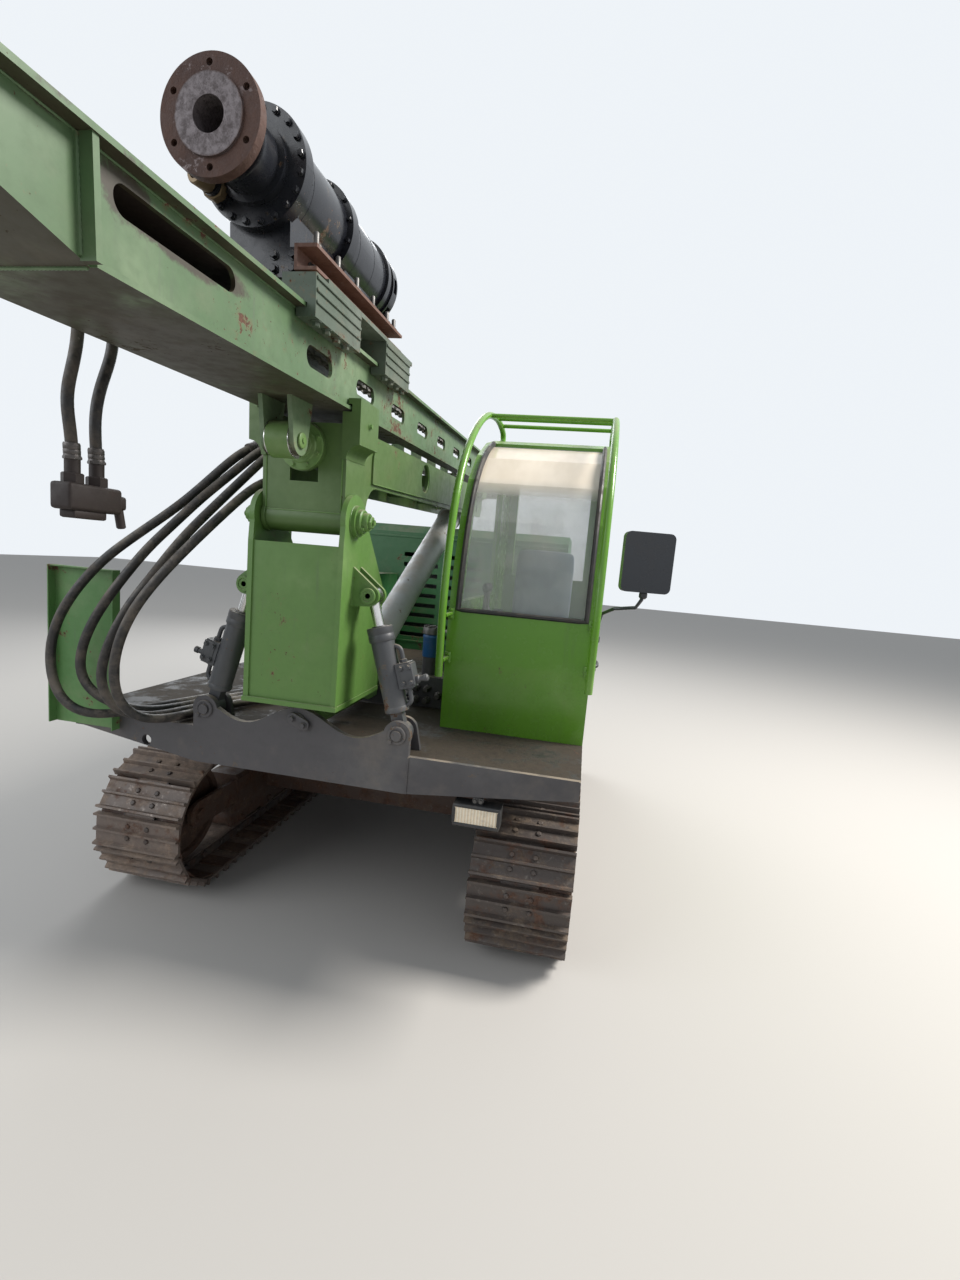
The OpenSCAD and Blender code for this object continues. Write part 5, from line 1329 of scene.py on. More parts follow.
@dataclass
class Platform(Assembly):
    """Front beam, deck and what stands on it: pin keepers, weld beads, lamp, filters, pipes."""

    front: float = -215
    pin_face: float = -223
    low_x: float = 412
    tilt_z: float = 1100
    deck: float = 1020
    filter_x: float = 300
    filter_y: float = 640
    filter_top: float = 1430

    def build(self) -> None:
        """Dresses the platform's nodes and adds its small pieces."""
        self.dress(Finish.DECK, "platform")
        self.dress(Finish.SLATE, "cross_plate", "tilt_brackets", "tilt_pins", "manifold",
                   "valve_block")
        self.dress(Finish.PLASTIC, "work_lamp")
        self.keepers()
        self.welds()
        self.lamp()
        self.filters()
        self.valves()
        self.breather()
        self.deck_pipes()

    def keeper(self, at: Point, turn: float) -> list[Piece]:
        """An oval keeper plate with its two bolts over a pin's front face, sloped by a turn."""
        half, thick = 26, 9
        outline = Bench.arc((half, 0), 23, [-90 + 22.5 * k for k in range(9)])
        outline += [(-px, -py) for px, py in outline]
        plate = Bench.plate("plate", outline, thick, 1.5)
        bolts = Bench.bolts("bolts", (19, 9, 14),
                            [Matrix.Translation((s * half, 0, thick)) for s in (-1, 1)])
        for piece in (plate, bolts):
            piece.data.transform(Bench.aimed(at, (0, -1, 0), turn))
        return [plate, bolts]

    def keepers(self) -> None:
        """Adds the keeper of the tilt pin and the collars of the side cylinders' lower pins."""
        pieces = self.keeper((8, self.pin_face, self.tilt_z + 4), -24)
        rings = [(37, 0), (37, 5), (34, 8), (27, 8), (25, 5), (13, 5), (12, 2)]
        for s in (-1, 1):
            x = s * self.low_x
            pieces += [
                Bench.turned("collar", rings, 28, (x, self.front, self.tilt_z), (0, -1, 0)),
                Bench.bolts("stud", (16, 6, 12), [
                    Bench.aimed((x - 24, self.front - 6, self.tilt_z - 26), (0, -1, 0))])]
        self.put(Bench.joined("pin_keepers", pieces), Finish.SLATE, "deck_paint")

    def welds(self) -> None:
        """Adds the beads where the beam meets the wave plate and the deck."""
        y, z = self.front, self.deck
        rows = [([(464, y - 1, 872), (464, y - 1, 1018)], 4)]
        rows += [([(x0, y + 2, z), (x1, y + 2, z)], 3) for x0, x1 in ((470, 1120), (-470, -800))]
        rows += [([(-128, along, z + 2), (128, along, z + 2)], 4) for along in (498, 542)]
        self.put(Bench.beads("deck_welds", rows), Finish.SLATE, "deck_paint")

    def lamp(self) -> None:
        """Adds the lamp's bezel, its lens and the bolts of its foot."""
        x0, x1, z0, z1, face = 658, 842, 790, 873, -227
        corners = [(x, face - 3, z) for x, z in (
            (x0 + 5, z0 + 5), (x1 - 5, z0 + 5), (x1 - 5, z1 - 5), (x0 + 5, z1 - 5))]
        line = Bench.stepped([*corners, *corners[:2]], 6)
        self.put(Bench.tube("lamp_bezel", line[:-4], 8, 10), Finish.PLASTIC, "black_paint")
        lens = Bench.slab("lamp_lens", (x0 + 7, face - 7, z0 + 7), (x1 - 7, face - 0.5, z1 - 7), 3, 2)
        self.put(lens, Finish.LENS, "clear_glass")
        bolts = Bench.bolts("lamp_bolts", (15, 7, 11), [
            Bench.aimed((750 + across, -213, 888), (0, -1, 0)) for across in (-11, 11)])
        self.put(bolts, Finish.BOLT, "chain_steel")

    def filters(self) -> None:
        """Adds the blue filter bowl and its bolted head."""
        at, top = (self.filter_x, self.filter_y, 0), self.filter_top
        bowl = Bench.turned("filter_bowl", [
            (30, 1266), (44, 1276), (45, 1282), (45, 1372), (47, 1376), (47, 1384), (43, 1392)], 28, at)
        self.put(bowl, Finish.BLUE, "deck_paint")
        head = Bench.turned("head", [(40, 1392), (50, 1396), (50, 1424), (46, top), (20, top),
                                     (18, top + 8)], 28, at)
        caps = Bench.bolts("caps", (13, 6, 9), Bench.circle(
            6, 38, (self.filter_x, self.filter_y, top), (0, 0, 1), 20))
        self.put(Bench.joined("filter_head", [head, caps]), Finish.BOLT, "chain_steel")

    def valves(self) -> None:
        """Adds the valve block's plugs and its two coils."""
        rings = [(21, 0), (21, 16), (16, 20), (16, 44), (12, 48)]
        pieces = [
            Bench.turned("plug", rings, 6 if k % 2 else 16, (x, 560, z), (0, -1, 0))
            for k, (x, z) in enumerate(((262, 1060), (262, 1120), (318, 1060), (318, 1120), (378, 1090)))]
        for z in (1064, 1112):
            pieces += [
                Bench.slab("coil", (420, 620, z), (478, 672, z + 40), 5, 2),
                Bench.turned("coil_end", [(15, 0), (15, 10), (10, 13)], 6, (478, 646, z + 20), (1, 0, 0))]
        self.put(Bench.joined("valve_caps", pieces), Finish.GREASY, "chain_steel")

    def breather(self) -> None:
        """Adds the white pipe that loops from the filter head down to the valve block."""
        line = [(345, 640, 1412), (392, 628, 1414), (440, 606, 1372), (458, 590, 1290), (440, 584, 1205),
                (400, 600, 1150), (380, 640, 1140)]
        pipe = Bench.tube("breather_pipe", Bench.smooth_line(line, 5), 8, 12)
        self.put(pipe, Finish.WHITE, "hose_rubber")

    def deck_pipes(self) -> None:
        """Adds the steel pipes that run along the deck from the valves to the manifold."""
        pieces = []
        for k in range(4):
            y, high = min(575 + 34 * k, 626), 1050 + 22 * (k % 2)
            points = [(245, y, high), (205, y, high), (170, y, 1042),
                      (-40 + 20 * k, y, 1037), (-170, y, 1042), (-230, y, 1056), (-280, y, 1060)]
            pieces.append(Bench.tube("pipe", Bench.smooth_line(points, 4), 9, 10))
        self.put(Bench.joined("deck_pipes", pieces), Finish.CYLINDER, "deck_paint")


@dataclass
class Column(Assembly):
    """Tilting column with its pins, and the side and raising cylinders."""

    body: ClassVar[str] = "column"
    half: float = 190
    front: float = -300
    bottom: float = 1185
    top: float = 1800
    pin_y: float = -200
    pin_z: float = 1900
    lug_x: float = 258
    lug_z: float = 1625
    low_x: float = 412
    low_z: float = 1100
    plane: float = -155
    lean: float = 16.35
    foot_y: float = 420
    foot_z: float = 1200
    raise_angle: float = 28.96

    def build(self) -> None:
        """Dresses column and cylinders, and adds their small pieces."""
        self.dress(Finish.COLUMN, "column", "raise_pins")
        self.dress(Finish.CYLINDER, "tilt_barrel_left", "tilt_barrel_right")
        self.dress(Finish.CHROME, "tilt_rod_left", "tilt_rod_right", "raise_rod", "slide_rod")
        self.dress(Finish.PALE, "raise_barrel")
        self.welds()
        self.pins()
        for side, label in SIDES:
            self.side_cylinder(side, label)
        self.raising_cylinder()

    def welds(self) -> None:
        """Adds the beads along the box's corners, the folded foot and the lugs."""
        y, z = self.front, self.bottom + 16
        rows = []
        for s in (-1, 1):
            x, seam = s * self.half, s * (self.half - 19)
            rows.append(([(seam, y + 6, z + 2), (seam, y + 6, self.top)], 3.4))
            rows += [([(x + s, along, self.lug_z - 42), (x + s, along, self.lug_z + 100)], 3.4)
                     for along in (self.plane - 45, self.plane + 45)]
            ring = Bench.arc((self.pin_y, self.pin_z), 58, range(0, 361, 20))
            rows.append(([(x + s, *p) for p in ring], 3.2))
            rows.append(([(x + s * 3, y + 4, z), (x + s * 3, 140, z)], 3))
        rows.append(([(-185, y - 2, z), (185, y - 2, z)], 3))
        self.put(Bench.beads("column_welds", rows), Finish.COLUMN, "mast_green")

    def pins(self) -> None:
        """Adds the raising pin's stepped caps and nuts, and the collars on the lugs."""
        pieces = []
        y, z, lug_y = self.pin_y, self.pin_z, self.plane - 55
        for s in (-1, 1):
            way, lug = (s, 0, 0), s * self.lug_x
            pieces += [
                Bench.turned("cap", [(46, 0), (46, 14), (42, 18), (34, 18), (34, 34), (31, 38)], 28,
                             (s * (self.half + 18), y, z), way),
                Bench.turned("nut", [(25, 0), (25, 22), (21, 26), (11, 26), (11, 34)], 6,
                             (s * (self.half + 42), y, z), way),
                Bench.bolts("studs", (13, 6, 9), Bench.circle(
                    2, 38, (s * (self.half + 36), y, z), way, 45)),
                Bench.turned("collar", [(31, -2), (31, 4), (29, 6), (22, 6), (20, 3), (11, 3), (10, 0)],
                             28, (lug, lug_y, self.lug_z), (0, -1, 0)),
                Bench.bolts("stud", (12, 5, 9), [
                    Bench.aimed((lug - s * 30, lug_y + 10, self.lug_z + 8), (0, -1, 0))]),
                Bench.bolts("foot", (36, 14, 27), [Bench.aimed((s * 94, self.foot_y, self.foot_z), way)])]
        self.put(Bench.joined("column_pins", pieces), Finish.COLUMN, "mast_green")

    def side_cylinder(self, side: int, label: str) -> None:
        """Adds a side cylinder's gland and foot ring, its elbow pipes and its valve."""
        stand = (Matrix.Translation((side * self.low_x, self.plane, self.low_z))
                 @ Matrix.Rotation(math.radians(-side * self.lean), 4, "Y"))
        gland = Bench.turned("gland", [
            (49.5, 366), (51, 368), (51, 390), (49.6, 392), (49.6, 396), (51, 398), (51, 420),
            (48, 423), (30, 423), (28, 427), (24, 427)], 36)
        foot = Bench.turned("foot", [(47, 84), (48, 88), (48, 102), (46.4, 105)], 36)
        rings = Bench.joined(f"side_cylinder_rings_{label}", [gland, foot])
        pieces = []
        for heights in ((270, 302, 322, 334, 340), (172, 136, 118, 106, 100)):
            elbow = [(side * x, 0, z) for x, z in zip((68, 68, 66, 56, 40), heights)]
            pieces.append(Bench.tube("pipe", Bench.smooth_line(elbow, 4), 9, 12))
        for z in (270, 160):
            pieces.append(Bench.turned("nut", [(15, 0), (15, 12), (12, 14)], 6, (side * 68, 0, z)))
        reach = sorted((side * 52, side * 104))
        pieces += [
            Bench.slab("cover", (reach[0], -33, 176), (reach[1], 33, 264), 3, 2),
            Bench.bolts("plugs", (16, 6, 11), [
                Bench.aimed((side * 76 + across, -33, 220 + up), (0, -1, 0))
                for up in (-30, 30) for across in (-16, 16)]),
            Bench.turned("port", [(16, 0), (16, 12), (11, 16), (11, 30), (14, 32), (14, 46), (9, 50)], 16,
                         (side * 104, 0, 196), (side, 0, 0))]
        valve = Bench.joined(f"side_cylinder_valve_{label}", pieces)
        for piece in (rings, valve):
            self.put(piece, Finish.CYLINDER, "cylinder_paint", f"tilt_barrel_{label}", stand=stand)

    def raising_cylinder(self) -> None:
        """Adds the raising cylinder's gland and its bolts."""
        stand = (Matrix.Translation((0, self.foot_y, self.foot_z))
                 @ Matrix.Rotation(math.radians(self.raise_angle - 90), 4, "X"))
        face = 1868
        gland = Bench.turned("gland", [(86, face - 42), (89, face - 39), (89, face - 6), (86, face),
                                       (60, face), (56, face + 6), (50, face + 6)], 40)
        bolts = Bench.bolts("bolts", (17, 8, 12), Bench.circle(8, 72, (0, 0, face), (0, 0, 1)))
        piece = Bench.joined("raising_cylinder_fittings", [gland, bolts])
        self.put(piece, Finish.PALE, "cylinder_paint", "raise_barrel", stand=stand)


@dataclass
class Mast(Assembly):
    """Cradle and mast: weld beads, bolts, hinge details and the roller feed chain."""

    body: ClassVar[str] = "mast"
    half: float = 165
    low: float = 388
    high: float = 598
    foot: float = -1550
    head: float = 4300
    taper: float = -1160
    cylinder_z: float = 255
    eye_y: float = -194

    def build(self) -> None:
        """Dresses the nodes and adds the small pieces."""
        # The cradle wears the darker copy of the column's paint as painted shade.
        self.dress(Finish.CRADLE_SHADED, "cradle", "slide_barrel")
        self.dress(self.stained(), "mast")
        self.dress(Finish.GREASY, "chain_drive")
        self.dress(Finish.OILY_AND_SHADE, "hang_block")
        self.cradle_trim()
        self.mast_trim()
        self.chain()
        self.motor_trim()

    def stained(self) -> WornPaint:
        """The mast's paint, with rust round the long slot, an oil stain low on its side, and painted shade
        on its underside.
        """
        rust, oil = (0.040, 0.024, 0.017), (0.034, 0.027, 0.018)
        rows = (((165, -1075, 545), (0.10, 0.105, 0.080), rust),
                ((165, -800, 532), (0.10, 0.17, 0.040), rust),
                ((165, -930, 508), (0.10, 0.20, 0.030), rust),
                # A broad dark patch on the mast's underside: painted shade.
                ((0, -700, 385), (0.20, 0.52, 0.09), oil),
                ((165, 120, 410), (0.06, 0.10, 0.03), oil),
                ((165, -1420, 588), (0.06, 0.15, 0.040), rust),
                ((165, -1250, 600), (0.06, 0.08, 0.03), rust))
        stains = tuple((tuple(self.place.at(*at)), size, tone) for at, size, tone in rows)
        # Painted shade on the faces that look down.
        return replace(Finish.MAST.value, name="mast_paint_stained", stains=stains, under=0.95)

    def cradle_trim(self) -> None:
        """Adds the cradle's beads, the rim of its round hole and the slide cylinder's head."""
        pieces = []
        for s in (-1, 1):
            x, seam, edge = s * (self.half + 1), s * (self.half - 15), s * (self.half + 8)
            rim = [(x, *p) for p in Bench.arc((960, 256), 74, range(0, 361, 15))]
            pieces += [
                Bench.beads("bead", [([(seam, -51, 30), (seam, -51, 340)], 3)]),
                Bench.tube("rim", rim, 5, 8),
                Bench.bolts("bolts", (16, 8, 12), [
                    Bench.aimed((s * (self.half + 52), y, 348), (s, 0, 0)) for y in (30, 2440)]),
                Bench.beads("bead", [([(edge, 205, 156), (edge, 900, 156)], 2.6)])]
        pieces.append(Bench.beads("bead", [([(-160, -51, 24), (160, -51, 24)], 3)]))
        self.put(Bench.joined("cradle_trim", pieces), Finish.COLUMN, "mast_green", "cradle")
        rings = [(86, 0), (84, 5), (62, 7), (58, 12), (46, 12), (44, 16), (39, 16)]
        lip = Bench.turned("lip", rings, 40, (0, -74, self.cylinder_z), (0, -1, 0))
        bolts = Bench.bolts("bolts", (14, 7, 10), Bench.circle(
            8, 73, (0, -79, self.cylinder_z), (0, -1, 0), 22))
        self.put(Bench.joined("slide_cylinder_head", [lip, bolts]), Finish.COLUMN, "mast_green",
                 "cradle")
        rings = [(58, -43.5), (61.5, -40), (61.5, 40), (58, 43.5)]
        drum = Bench.turned("rod_eye_drum", rings, 40, (0, self.eye_y, self.cylinder_z), (1, 0, 0))
        self.put(drum, Finish.COLUMN, "mast_green")

    def mast_trim(self) -> None:
        """Adds the mast's beads, a near-black tray under its chain as painted shade inside the mast, the
        rod's eye pins and the foot's bolts.
        """
        rows = []
        for s in (-1, 1):
            x, side = s * (self.half + 1), s * self.half
            rows += [([(x, y, 398), (x, y, 584)], radius) for y, radius in ((-1158, 6), (-1182, 5))]
            rows += [([(x, y, z), (x, self.head, z)], 3)
                     for y, z in ((-1155, self.low + 14), (self.foot + 4, self.high - 13))]
            rows.append(([(side, self.foot, 500), (side, self.foot, 590)], 4))
        rows.append(([(-160, self.taper, self.low - 1), (160, self.taper, self.low - 1)], 4))
        self.put(Bench.beads("mast_welds", rows), Finish.MAST, "mast_green")
        # The tray's near-black finish is painted shade inside the mast's open bottom.
        tray = Bench.slab("chain_tray", (-self.half + 5, -1335, 563), (self.half - 5, -500, 568), 1, 1)
        self.put(tray, Finish.OILY_AND_SHADE, "chain_steel")
        pin = Bench.turned("pin", [(24, 0), (26, 2), (26, 8), (23, 10), (10, 10), (9, 14)], 24)
        pins = Bench.copies("rod_eye_pins", pin, [
            Bench.aimed((s * 60, self.eye_y, self.cylinder_z), (s, 0, 0)) for s in (-1, 1)])
        self.put(pins, Finish.COLUMN, "mast_green")
        bolts = Bench.bolts("mast_bolts", (22, 11, 17), [
            Bench.aimed((x, self.foot, z), (0, -1, 0)) for x in (-120, -40, 40, 120) for z in (530, 570)])
        self.put(bolts, Finish.MAST, "mast_green")

    def chain(self) -> None:
        """Lays the real roller chain in place of the plain bar of links."""
        start, end, level = -1426, 4176, 594
        count = 88
        pitch = (end - start) / count
        half, waist = pitch * 0.5, 11
        outline = [*Bench.arc((-half, 0), 17, range(90, 271, 30)), (0, -waist),
                   *Bench.arc((half, 0), 17, range(-90, 91, 30)), (0, waist)]
        stand = Matrix(((0, 0, 1, 0), (1, 0, 0, 0), (0, 1, 0, 0), (0, 0, 0, 1)))
        patterns = []
        for reach in (22.5, 16):
            sides = []
            for s in (-1, 1):
                plate = Bench.plate("plate", outline, 5, 0)
                plate.data.transform(Matrix.Translation((s * reach - 2.5, 0, 0)) @ stand)
                sides.append(plate)
            patterns.append(Bench.joined("link", sides))
        roller = Bench.turned("roller", [(13, -14), (13, 14)], 10, way=(1, 0, 0))
        pin = Bench.turned("pin", [(6, -29), (7.5, -27), (7.5, 27), (6, 29)], 8, way=(1, 0, 0))
        joint = Bench.joined("joint", [roller, pin])
        steps = [Matrix.Translation((0, start + half * k, level)) for k in range(2 * count + 1)]
        pieces = [Bench.copies("outer", patterns[0], steps[1::4]),
                  Bench.copies("inner", patterns[1], steps[3::4]),
                  Bench.copies("joints", joint, steps[::2])]
        chain = self.put(Bench.joined("roller_chain", pieces), Finish.CHAIN, "chain_steel")
        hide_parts("feed_chain")

    def motor_trim(self) -> None:
        """Adds the feed motor's flange, ports and bolts at the mast's rear end."""
        x, y, z, way = -self.half, 4180, 525.7, (-1, 0, 0)
        rings = [(15, 0), (15, 10), (11, 13), (11, 26), (14, 28), (14, 40)]
        pieces = [
            Bench.turned("flange", [(74, 0), (76, 2), (76, 16), (73, 19)], 32, (x - 1, y, z), way),
            Bench.turned("cap", [(57, 0), (59, 2), (59, 20), (50, 26), (22, 28)], 32, (x - 128, y, z), way),
            *(Bench.turned("port", rings, 14, (x - across, y, z + 54)) for across in (50, 96)),
            Bench.bolts("bolts", (15, 7, 11), Bench.circle(4, 66, (x - 20, y, z), way, 45))]
        self.put(Bench.joined("feed_motor_trim", pieces), Finish.GREASY, "chain_steel")


@dataclass
class Head(Assembly):
    """Rotary head, its sled and brackets: ring bolts, port, mounting bolts and slide strips."""

    body: ClassVar[str] = "head"
    axis: float = 981
    barrel: float = 141
    channel_x: float = 192
    shoe_x: float = 212

    def build(self) -> None:
        """Dresses the nodes and adds the small pieces."""
        self.dress(Finish.BLACK, "head_body")
        self.dress(Finish.SLED, "head_sled")
        self.dress(Finish.BRACKET, "head_mount")
        self.spindle_finish()
        self.ring_bolts()
        self.bands()
        self.mount_bolts()
        self.sled_strips()
        self.base_bolts()
        self.port()

    def spindle_finish(self) -> None:
        """Gives the output flange its rust, with the raised face rubbed grey."""
        centre = self.place.at(0, -600, self.axis)
        rust = RustyCasting("flange_rust", tuple(centre), tuple(self.place.along), 0.097)
        self.dress(rust, "spindle")

    def ring_bolts(self) -> None:
        """Adds the bolt circles of the front, middle and rear rings."""
        rows = ((-395, 149, 20, -1, 17), (-350, 151.5, 20, 1, 15), (-50, 149, 14, -1, 13),
                (450, 122, 10, 1, 16))
        pieces = [
            Bench.bolts("bolts", (across, 8, across * 0.62), Bench.circle(
                count, radius, (0, y, self.axis), (0, way, 0), 9, True))
            for y, radius, count, way, across in rows]
        self.put(Bench.joined("head_ring_bolts", pieces), Finish.BLACK, "black_paint")

    def bands(self) -> None:
        """Adds the seams round the barrel, the nose ring and the shaft's seal."""
        r = self.barrel
        rings = [(r - 2, 0), (r, 1.5), (r, 5.5), (r - 2, 7)]
        pieces = [Bench.turned("band", rings, 48, (0, y, self.axis), (0, 1, 0))
                  for y in (-300, 60, 200, 312)]
        pieces += [
            Bench.turned("nose", [(93, 0), (95, 2), (95, 12), (92.5, 14)], 40,
                         (0, -498, self.axis), (0, 1, 0)),
            Bench.turned("seal", [(76, 0), (76, 7), (70, 9)], 36, (0, -500, self.axis), (0, -1, 0))]
        self.put(Bench.joined("head_bands", pieces), Finish.BLACK, "black_paint")

    def mount_bolts(self) -> None:
        """Adds the bolts of the channels, upright and through their webs."""
        spots = [(s * self.channel_x, y) for s in (-1, 1) for y in (-380, -230, -80, 70, 220, 300)]
        pieces = [
            Bench.bolts("channel_bolts", (26, 15, 20), [
                Bench.aimed((x, y, 760), (0, 0, 1), y) for x, y in spots]),
            Bench.copies("studs", Bench.turned("stud", [(8, 0), (8, 36), (6, 39)], 10), [
                Bench.aimed((x, y, 772), (0, 0, 1)) for x, y in spots]),
            Bench.bolts("web_bolts", (22, 11, 17), [
                Bench.aimed((s * 160, y, 726), (s, 0, 0), y)
                for s in (-1, 1) for y in range(-350, 291, 80)])]
        self.put(Bench.joined("channel_bolts", pieces), Finish.BOLT, "brown_steel")

    def sled_strips(self) -> None:
        """Adds the wear strips on the sled's sides and the bolts under its shoes."""
        pieces = [Bench.bolts("shoe_bolts", (22, 12, 17), [
            Bench.aimed((s * self.shoe_x, y, 560), (0, 0, -1), y)
            for s in (-1, 1) for y in (-410, -340, -270, -200, 170, 240, 310, 380)])]
        for s in (-1, 1):
            low, high = sorted((s * 230, s * 235))
            pieces += [
                Bench.slab("strip", (low, start, z), (high, end, z + 11), 2, 1)
                for start, end in ((-446, -124), (134, 416)) for z in (596, 628, 660)]
        self.put(Bench.joined("sled_strips", pieces), Finish.SLED, "mast_green")

    def base_bolts(self) -> None:
        """Adds the bolts on the front of the head's base box."""
        box = Bench.bolts("base_bolts", (20, 10, 15), [
            Bench.aimed((x, -380, z), (0, -1, 0)) for x in (-120, -60, 60, 120) for z in (712, 750)])
        self.put(box, Finish.BLACK, "black_paint")

    def port(self) -> None:
        """Adds the brass swivel port at the head's front and the collar behind it."""
        brass = Bench.turned("port", [(26, 0), (28, 3), (28, 48), (25, 52), (16, 52), (15, 44)], 24,
                             (-105, -448, 909), (-0.25, -1, 0))
        collar = Bench.turned("collar", [(34, 0), (36, 2), (36, 24), (33, 27)], 8,
                              (-105, -410, 909), (0, -1, 0))
        self.put(Bench.joined("swivel_port", [brass, collar]), Finish.BRASS, "brown_steel")


@dataclass
class Cab(Assembly):
    """Cab and housings: gaskets, hoops, handle, cushions, mirror glass, latches."""

    left: float = 470
    right: float = 1125
    front: float = 250
    floor: float = 1020
    roof: float = 2520
    sill: float = 1565
    stay_heights: tuple = (330, 530)
    mirror_at: Point = (1303, 215, 1845)
    mirror_turn: float = 12
    profile: tuple = ((0, 0), (-8, 320), (0, 550), (30, 760), (88, 970), (190, 1150), (350, 1290),
                      (560, 1390), (800, 1452), (1080, 1490), (1430, 1500))
    hoop_line: tuple = ((-112, 260), (-128, 560), (-100, 830), (-22, 1085), (130, 1290), (340, 1440),
                        (560, 1530), (800, 1572), (960, 1570), (1050, 1552), (1075, 1528), (1075, 1492))

    def build(self) -> None:
        """Dresses the cab's and housings' nodes and adds their trim."""
        self.dress(Finish.CAB, "cab_shell", "cab_roof_guard", "cab_door")
        self.dress(Finish.GLASS, "cab_glass")
        self.dress(Finish.DOOR_GLASS, "door_glass")
        self.dress(Finish.PLASTIC, "console")
        self.dress(Finish.SHELL, "mirror")
        self.dress(Finish.HOUSING, "engine_housing", "fuel_tank", "hydraulic_tank")
        self.dress(Finish.GUARD, "guard_panel")
        self.dress(Finish.ENGINE, "engine")
        self.screen_gasket()
        self.door_trim()
        self.cushions()
        self.controls()
        self.mirror_glass()
        self.hoops()
        self.hoop_feet()
        self.housing_trim()

    def outline(self, out: float) -> list[tuple[float, float]]:
        """The cab's front from sill to roof, in Y and Z, moved outwards by so much."""
        points = [(self.front + p[0], self.floor + p[1]) for p in self.profile]
        fine = [(v.y, v.z) for v in Bench.smooth_line([(0, y, z) for y, z in points], 4)]
        kept = [p for p in fine if p[1] >= self.sill - 2 and p[0] <= self.front + 560]
        moved = []
        for i, (y, z) in enumerate(kept):
            a, b = kept[max(i - 1, 0)], kept[min(i + 1, len(kept) - 1)]
            way = Vector((b[0] - a[0], b[1] - a[1])).normalized()
            moved.append((y - way.y * out, z + way.x * out))
        return moved

    def screen_gasket(self) -> None:
        """Adds the black rubber frame round the windscreen."""
        line = self.outline(1)
        x0, x1 = self.left + 40, self.right - 40
        around = [(x0, *p) for p in reversed(line)] + [(x0 + 20 * k, *line[0]) for k in range(1, 28)]
        around += [(x1, *p) for p in line]
        self.put(Bench.tube("screen_gasket", around, 11, 8), Finish.GASKET, "black_paint")
        inner = self.outline(-4)
        strips = [Bench.tube("strip", side, 6, 6) for side in (
            [(x0 + 6, y + 6, z) for y, z in reversed(inner)], [(x1 - 6, y + 6, z) for y, z in inner])]
        self.put(Bench.joined("screen_strips", strips), Finish.GASKET, "black_paint")

    def door_trim(self) -> None:
        """Adds the door's gaskets, the lock and the handle's bow."""
        front, rear, top = self.front + 130, self.front + 980, self.roof
        window = [(front + 80, 1640), (front + 250, 1420), (rear - 60, 1420), (rear - 60, top - 350),
                  (rear - 130, top - 250), (rear - 270, top - 195), (rear - 410, top - 220),
                  (rear - 550, top - 330), (front + 150, top - 520)]
        closed = [(self.right + 1, y, z) for y, z in [*window, *window[:2]]]
        gasket = Bench.tube("door_window_gasket", Bench.stepped(closed, 6)[:-5], 11, 8)
        self.put(gasket, Finish.GASKET, "black_paint", "door")
        x = self.right
        plate = Bench.slab("plate", (x, front + 40, 1308), (x + 6, front + 240, 1366), 5, 2)
        grip = ((4, 60, 1350), (26, 72, 1352), (30, 120, 1352), (30, 170, 1352), (26, 208, 1352),
                (4, 220, 1350))
        bow = Bench.tube("bow", Bench.smooth_line([(x + out, front + y, z) for out, y, z in grip], 4),
                         9, 10)
        lock = Bench.turned("lock", [(13, 0), (13, 6), (10, 8), (5, 8), (4, 5)], 20,
                            (x + 6, front + 215, 1325), (1, 0, 0))
        self.put(Bench.joined("door_handle", [plate, bow, lock]), Finish.PLASTIC, "black_paint", "door")

    def cushion(self, name: str, low: Point, high: Point, tilt: float, crown: float) -> Piece:
        """A crowned cushion with a piped edge and two sewn channels.

        Args:
            name: Name of the piece.
            low: Lowest corner.
            high: Highest corner.
            tilt: Lean about X through the lowest rear edge, in degrees.
            crown: How far its broad face bulges.

        Returns:
            The cushion.
        """
        middle = Vector([(a + b) / 2 for a, b in zip(low, high)])
        size = Vector([b - a for a, b in zip(low, high)])
        piece = Bench.cube(name, (0, 0, 0), tuple(size))
        bpy.ops.object.mode_set(mode="EDIT")
        bpy.ops.mesh.select_all(action="SELECT")
        bpy.ops.mesh.subdivide(number_cuts=11)
        bpy.ops.object.mode_set(mode="OBJECT")
        thin = min(range(3), key=lambda axis: size[axis])
        broad = [axis for axis in range(3) if axis != thin]
        for vertex in piece.data.vertices:
            u, v = (2 * vertex.co[axis] / size[axis] for axis in broad)
            w = 2 * vertex.co[thin] / size[thin]
            round_off = (abs(u) ** 8 + abs(v) ** 8) * 0.5
            bulge = crown * (1 - u * u) * (1 - v * v)
            seam = sum(math.exp(-((u - at) / 0.035) ** 2) for at in (-0.45, 0.45)) * crown * 0.5
            depth = size[thin] / 2 * (1 - 0.34 * round_off) + bulge - crown - seam * abs(w) ** 3
            vertex.co[thin] = w * depth
            for axis, t, other in ((broad[0], u, v), (broad[1], v, u)):
                vertex.co[axis] *= 1 - 0.045 * abs(other) ** 6 - 0.05 * abs(w) ** 6 * abs(t) ** 3
        Bench.modified(piece, "SUBSURF", levels=1, render_levels=1)
        turn = Matrix.Rotation(math.radians(tilt), 4, "X")
        foot = Vector((middle.x, high[1], low[2]))
        piece.data.transform(Matrix.Translation(foot) @ turn @ Matrix.Translation(middle - foot))
        return piece

